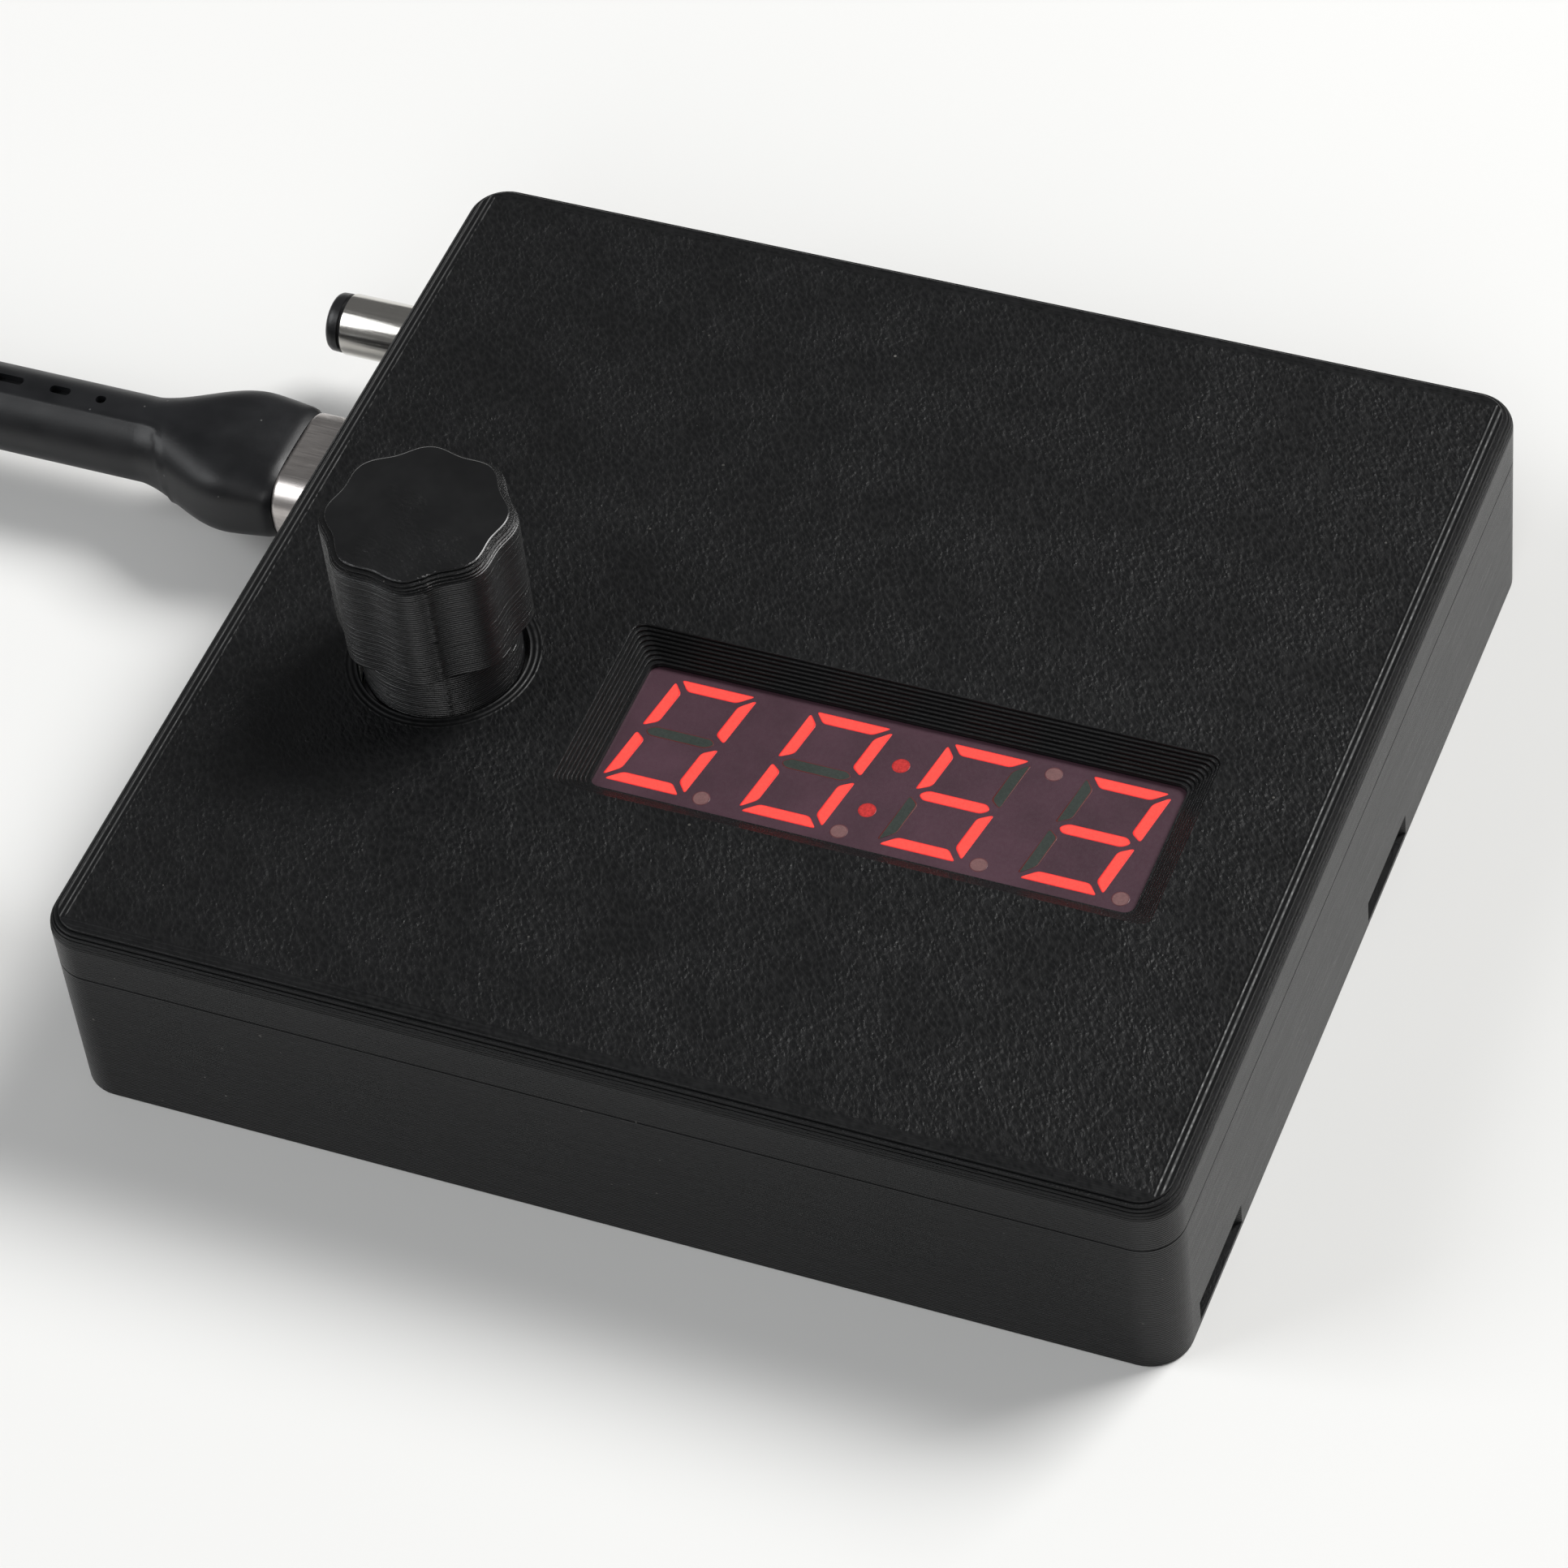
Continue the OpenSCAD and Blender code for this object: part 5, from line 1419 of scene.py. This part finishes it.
@dataclass
class Knob:
    """The fluted knob: a lobed grip with a rounded top edge over a plain skirt, printed in clear layers."""

    middle: Flat = (-24.1, -7.2)
    foot: float = 16.2
    grip: float = 21.4
    top: float = 31.3
    radius: float = 7.05
    flute: float = 0.5
    lobes: int = 8
    turn: float = 15.0
    skirt: float = 5.75
    layer: float = LAYER
    edge_layers: int = 5
    groove: float = 0.075
    seam_angle: float = 299.0
    points: int = 288

    def grip_radius(self, angle: float) -> float:
        """Returns the grip's radius at an angle in degrees."""
        return self.radius - self.flute * (1 - math.cos(math.radians(self.lobes * (angle - self.turn)))) / 2

    def ring(self, z: float, radius: Callable[[float], float], inset: float, blob: float) -> Ring:
        """Returns a ring at height z, moved in by an inset, with the seam's blob on it."""
        made: Ring = []
        for i in range(self.points):
            angle = 360 * i / self.points
            off = (angle - self.seam_angle + 180) % 360 - 180
            reach = radius(angle) - inset + blob * math.exp(-(off / 1.5) ** 2)
            a = math.radians(angle)
            made.append((self.middle[0] + reach * math.cos(a), self.middle[1] + reach * math.sin(a), z))
        return made

    def layers(self, low: float, high: float, radius: Callable[[float], float], rounded: int) -> list[Ring]:
        """Stacks printed layers.

        Args:
            low: where they begin.
            high: where they end.
            radius: the radius at an angle.
            rounded: how many of the top layers step back.

        Returns:
            The rings, from the lowest up.
        """
        source = random.Random(int(low * 10))
        wobble = Wobble(int(low * 100), 0.007, (2, 5, 9, 17, 31))
        count = round((high - low) / self.layer)
        rings: list[Ring] = []
        for number in range(count):
            z = low + number * (high - low) / count
            step = number - (count - rounded)
            inset = round_inset(step, rounded, self.layer) if rounded and step >= 0 else 0.0
            blob = source.uniform(0.02, 0.085)
            shift = source.uniform(-0.006, 0.010)
            off = wobble.line()

            def uneven(angle: float, off: Callable[[float], float] = off) -> float:
                """Returns the radius with this layer's waviness."""
                return radius(angle) - abs(off(angle / 360))

            for up, back in ((0.0, self.groove), (0.05, 0.008), (0.10, 0.0), (0.15, 0.008)):
                rings.append(self.ring(z + up, uneven, inset + back + shift, blob))
        rings.append(self.ring(high, radius, inset + self.groove + 0.03, 0.0))
        return rings

    def build(self) -> None:
        """Makes the knob with its bore."""
        skirt = lambda angle: self.skirt
        bore = [(29.05, 0.4), (29.05, 3.02), (20.1, 3.02), (20.1, 4.25), (self.foot, 4.25)]
        rings = [self.ring(z, lambda angle, r=r: r, 0.0, 0.0) for z, r in bore]
        rings.append(self.ring(self.foot, skirt, 0.12, 0.0))
        rings += self.layers(self.foot + 0.05, self.grip, skirt, 0)
        rings.append(self.ring(self.grip, self.grip_radius, 0.10, 0.0))
        rings += self.layers(self.grip + 0.01, self.top, self.grip_radius, self.edge_layers)
        piece = Draft().loft(rings).make("knob_printed")
        settle(piece, FINISHES["knob_plastic"], Body.KNOB, ("knob",), 50, level=True)


# ---------------------------------------------------------------- barrel connector


@dataclass
class Barrel:
    """The small barrel connector: a plated sleeve and a black insulating tip with a groove behind its lip."""

    middle: Flat = (31.0, 6.6)
    tip: float = -51.4
    tip_end: float = -50.1
    wall: float = -41.0
    root: float = -35.6
    radius: float = 2.4

    def build(self) -> None:
        """Makes the sleeve and the tip."""
        r = self.radius
        sleeve = turned("barrel_plated_sleeve", Axis.X, self.middle, [
            (self.tip_end, r - 0.35), (self.tip_end, r - 0.1), (self.tip_end + 0.06, r - 0.02),
            (self.tip_end + 0.14, r), (self.wall - 0.02, r), (self.wall, r + 0.36),
            (self.wall + 0.04, r + 0.4), (self.root, r + 0.4), (self.root, r - 0.35),
        ], 96, hollow=True)
        settle(sleeve, FINISHES["nickel"], Body.CASE, ("barrel_sleeve",), sharp=30)
        tip = turned("barrel_moulded_tip", Axis.X, self.middle, [
            (self.root, 1.15), (self.tip + 1.0, 1.15), (self.tip + 1.0, 0.85), (self.tip + 0.25, 0.85),
            (self.tip + 0.05, 1.0), (self.tip, 1.2), (self.tip, 1.75), (self.tip + 0.04, 1.98),
            (self.tip + 0.15, 2.17), (self.tip + 0.33, 2.28), (self.tip + 0.7, 2.3),
            (self.tip_end - 0.28, 2.3), (self.tip_end - 0.24, 2.12), (self.tip_end - 0.04, 2.12),
            (self.tip_end, 2.05), (self.root, 2.05),
        ], 96, hollow=True)
        settle(tip, FINISHES["tip_black"], Body.CASE, ("barrel_tip",), sharp=35)


# ---------------------------------------------------------------- what stays as the frame has it


def node_slots() -> dict[str, str]:
    """Returns each node's material slot, from the frame's record."""
    slots: dict[str, str] = {}
    for entry in frame["record"].get("materials", []):
        for node in entry.get("nodes", []):
            slots[node] = entry["slot"]
    return slots


def dress_node(node: str, finish: Finish) -> None:
    """Gives a frame node its finish."""
    mesh = frame["nodes"][node].data
    mesh.materials.clear()
    mesh.materials.append(finish.material())
    LOG.info("%s: %s, as the frame has it", node, finish.slot)


def dress_rest(done: Iterable[str]) -> None:
    """Gives every node that no piece has dressed the finish of its slot."""
    skip = set(done)
    for node, slot in sorted(node_slots().items()):
        if node not in skip and slot in FINISHES:
            dress_node(node, FINISHES[slot])


# ---------------------------------------------------------------- studio


@dataclass
class Studio:
    """A pale floor, soft lights from above and behind, and a long lens that looks down on the timer."""

    camera_at: Point = (128.28, -255.78, 323.12)
    right: Point = (0.92694, 0.36513, -0.08637)
    up: Point = (-0.22061, 0.71658, 0.6617)
    back: Point = (0.3035, -0.5943, 0.74478)
    lens: float = 137.27
    sensor: float = 36.0
    floor_size: float = 8.0
    room_light: float = 0.14

    def place_camera(self) -> None:
        """Places the camera and makes it the scene's."""
        data = bpy.data.cameras.new("camera")
        data.lens = self.lens
        data.sensor_width = self.sensor
        data.clip_start = 0.01
        camera = bpy.data.objects.new("camera", data)
        columns = zip(self.right, self.up, self.back, (v * MM for v in self.camera_at))
        camera.matrix_world = Matrix([list(row) for row in columns] + [[0, 0, 0, 1]])
        bpy.context.scene.collection.objects.link(camera)
        bpy.context.scene.camera = camera

    def lay_floor(self) -> None:
        """Lays the floor."""
        outline = round_outline(self.floor_size, self.floor_size, 0.5, 6)
        floor = Draft().loft([flat_ring(outline, (0, 0), z) for z in (-0.02, -0.0001)]).make("floor")
        floor.data.materials.append(PaleFloor("floor", (0.80, 0.80, 0.79), 0.9, specular=0.05).material())

    def hang(self, name: str, at: Point, size: float, power: float, colour: Colour = (1.0, 1.0, 1.0)) -> None:
        """Hangs a square soft light that points at the timer.

        Args:
            name: the light's name.
            at: its place in metres.
            size: its side in metres.
            power: its power in watts.
            colour: its colour.
        """
        data = bpy.data.lights.new(name, "AREA")
        data.shape = "SQUARE"
        data.size = size
        data.energy = power
        data.color = colour
        light = bpy.data.objects.new(name, data)
        light.location = at
        light.rotation_euler = Vector(at).to_track_quat("Z", "Y").to_euler()
        bpy.context.scene.collection.objects.link(light)

    def light(self) -> None:
        """Lights the scene."""
        self.hang("key", (0.75, 0.95, 1.35), 0.8, 34.0, (1.0, 0.995, 0.985))
        self.hang("fill", (-1.3, -0.7, 1.2), 1.0, 14.0, (0.97, 0.985, 1.0))
        self.hang("front", (0.5, -1.5, 1.0), 1.0, 8.0)
        world = bpy.data.worlds.new("room")
        world.use_nodes = True
        room = world.node_tree.nodes["Background"].inputs
        room["Color"].default_value = (1.0, 1.0, 1.0, 1.0)
        room["Strength"].default_value = self.room_light
        bpy.context.scene.world = world
        bpy.context.scene.view_settings.view_transform = "Standard"

    def build(self) -> None:
        """Sets up the camera, the floor and the lights."""
        self.place_camera()
        self.lay_floor()
        self.light()


def main() -> None:
    """Builds the timer's looks and the studio round it."""
    logging.basicConfig(level=logging.INFO, format="%(name)s: %(message)s")
    Studio().build()
    PowerCable().build()
    Case().build()
    Display().build()
    Knob().build()
    Barrel().build()
    dress_rest(["base_shell"])


if __name__ == "__main__":
    main()
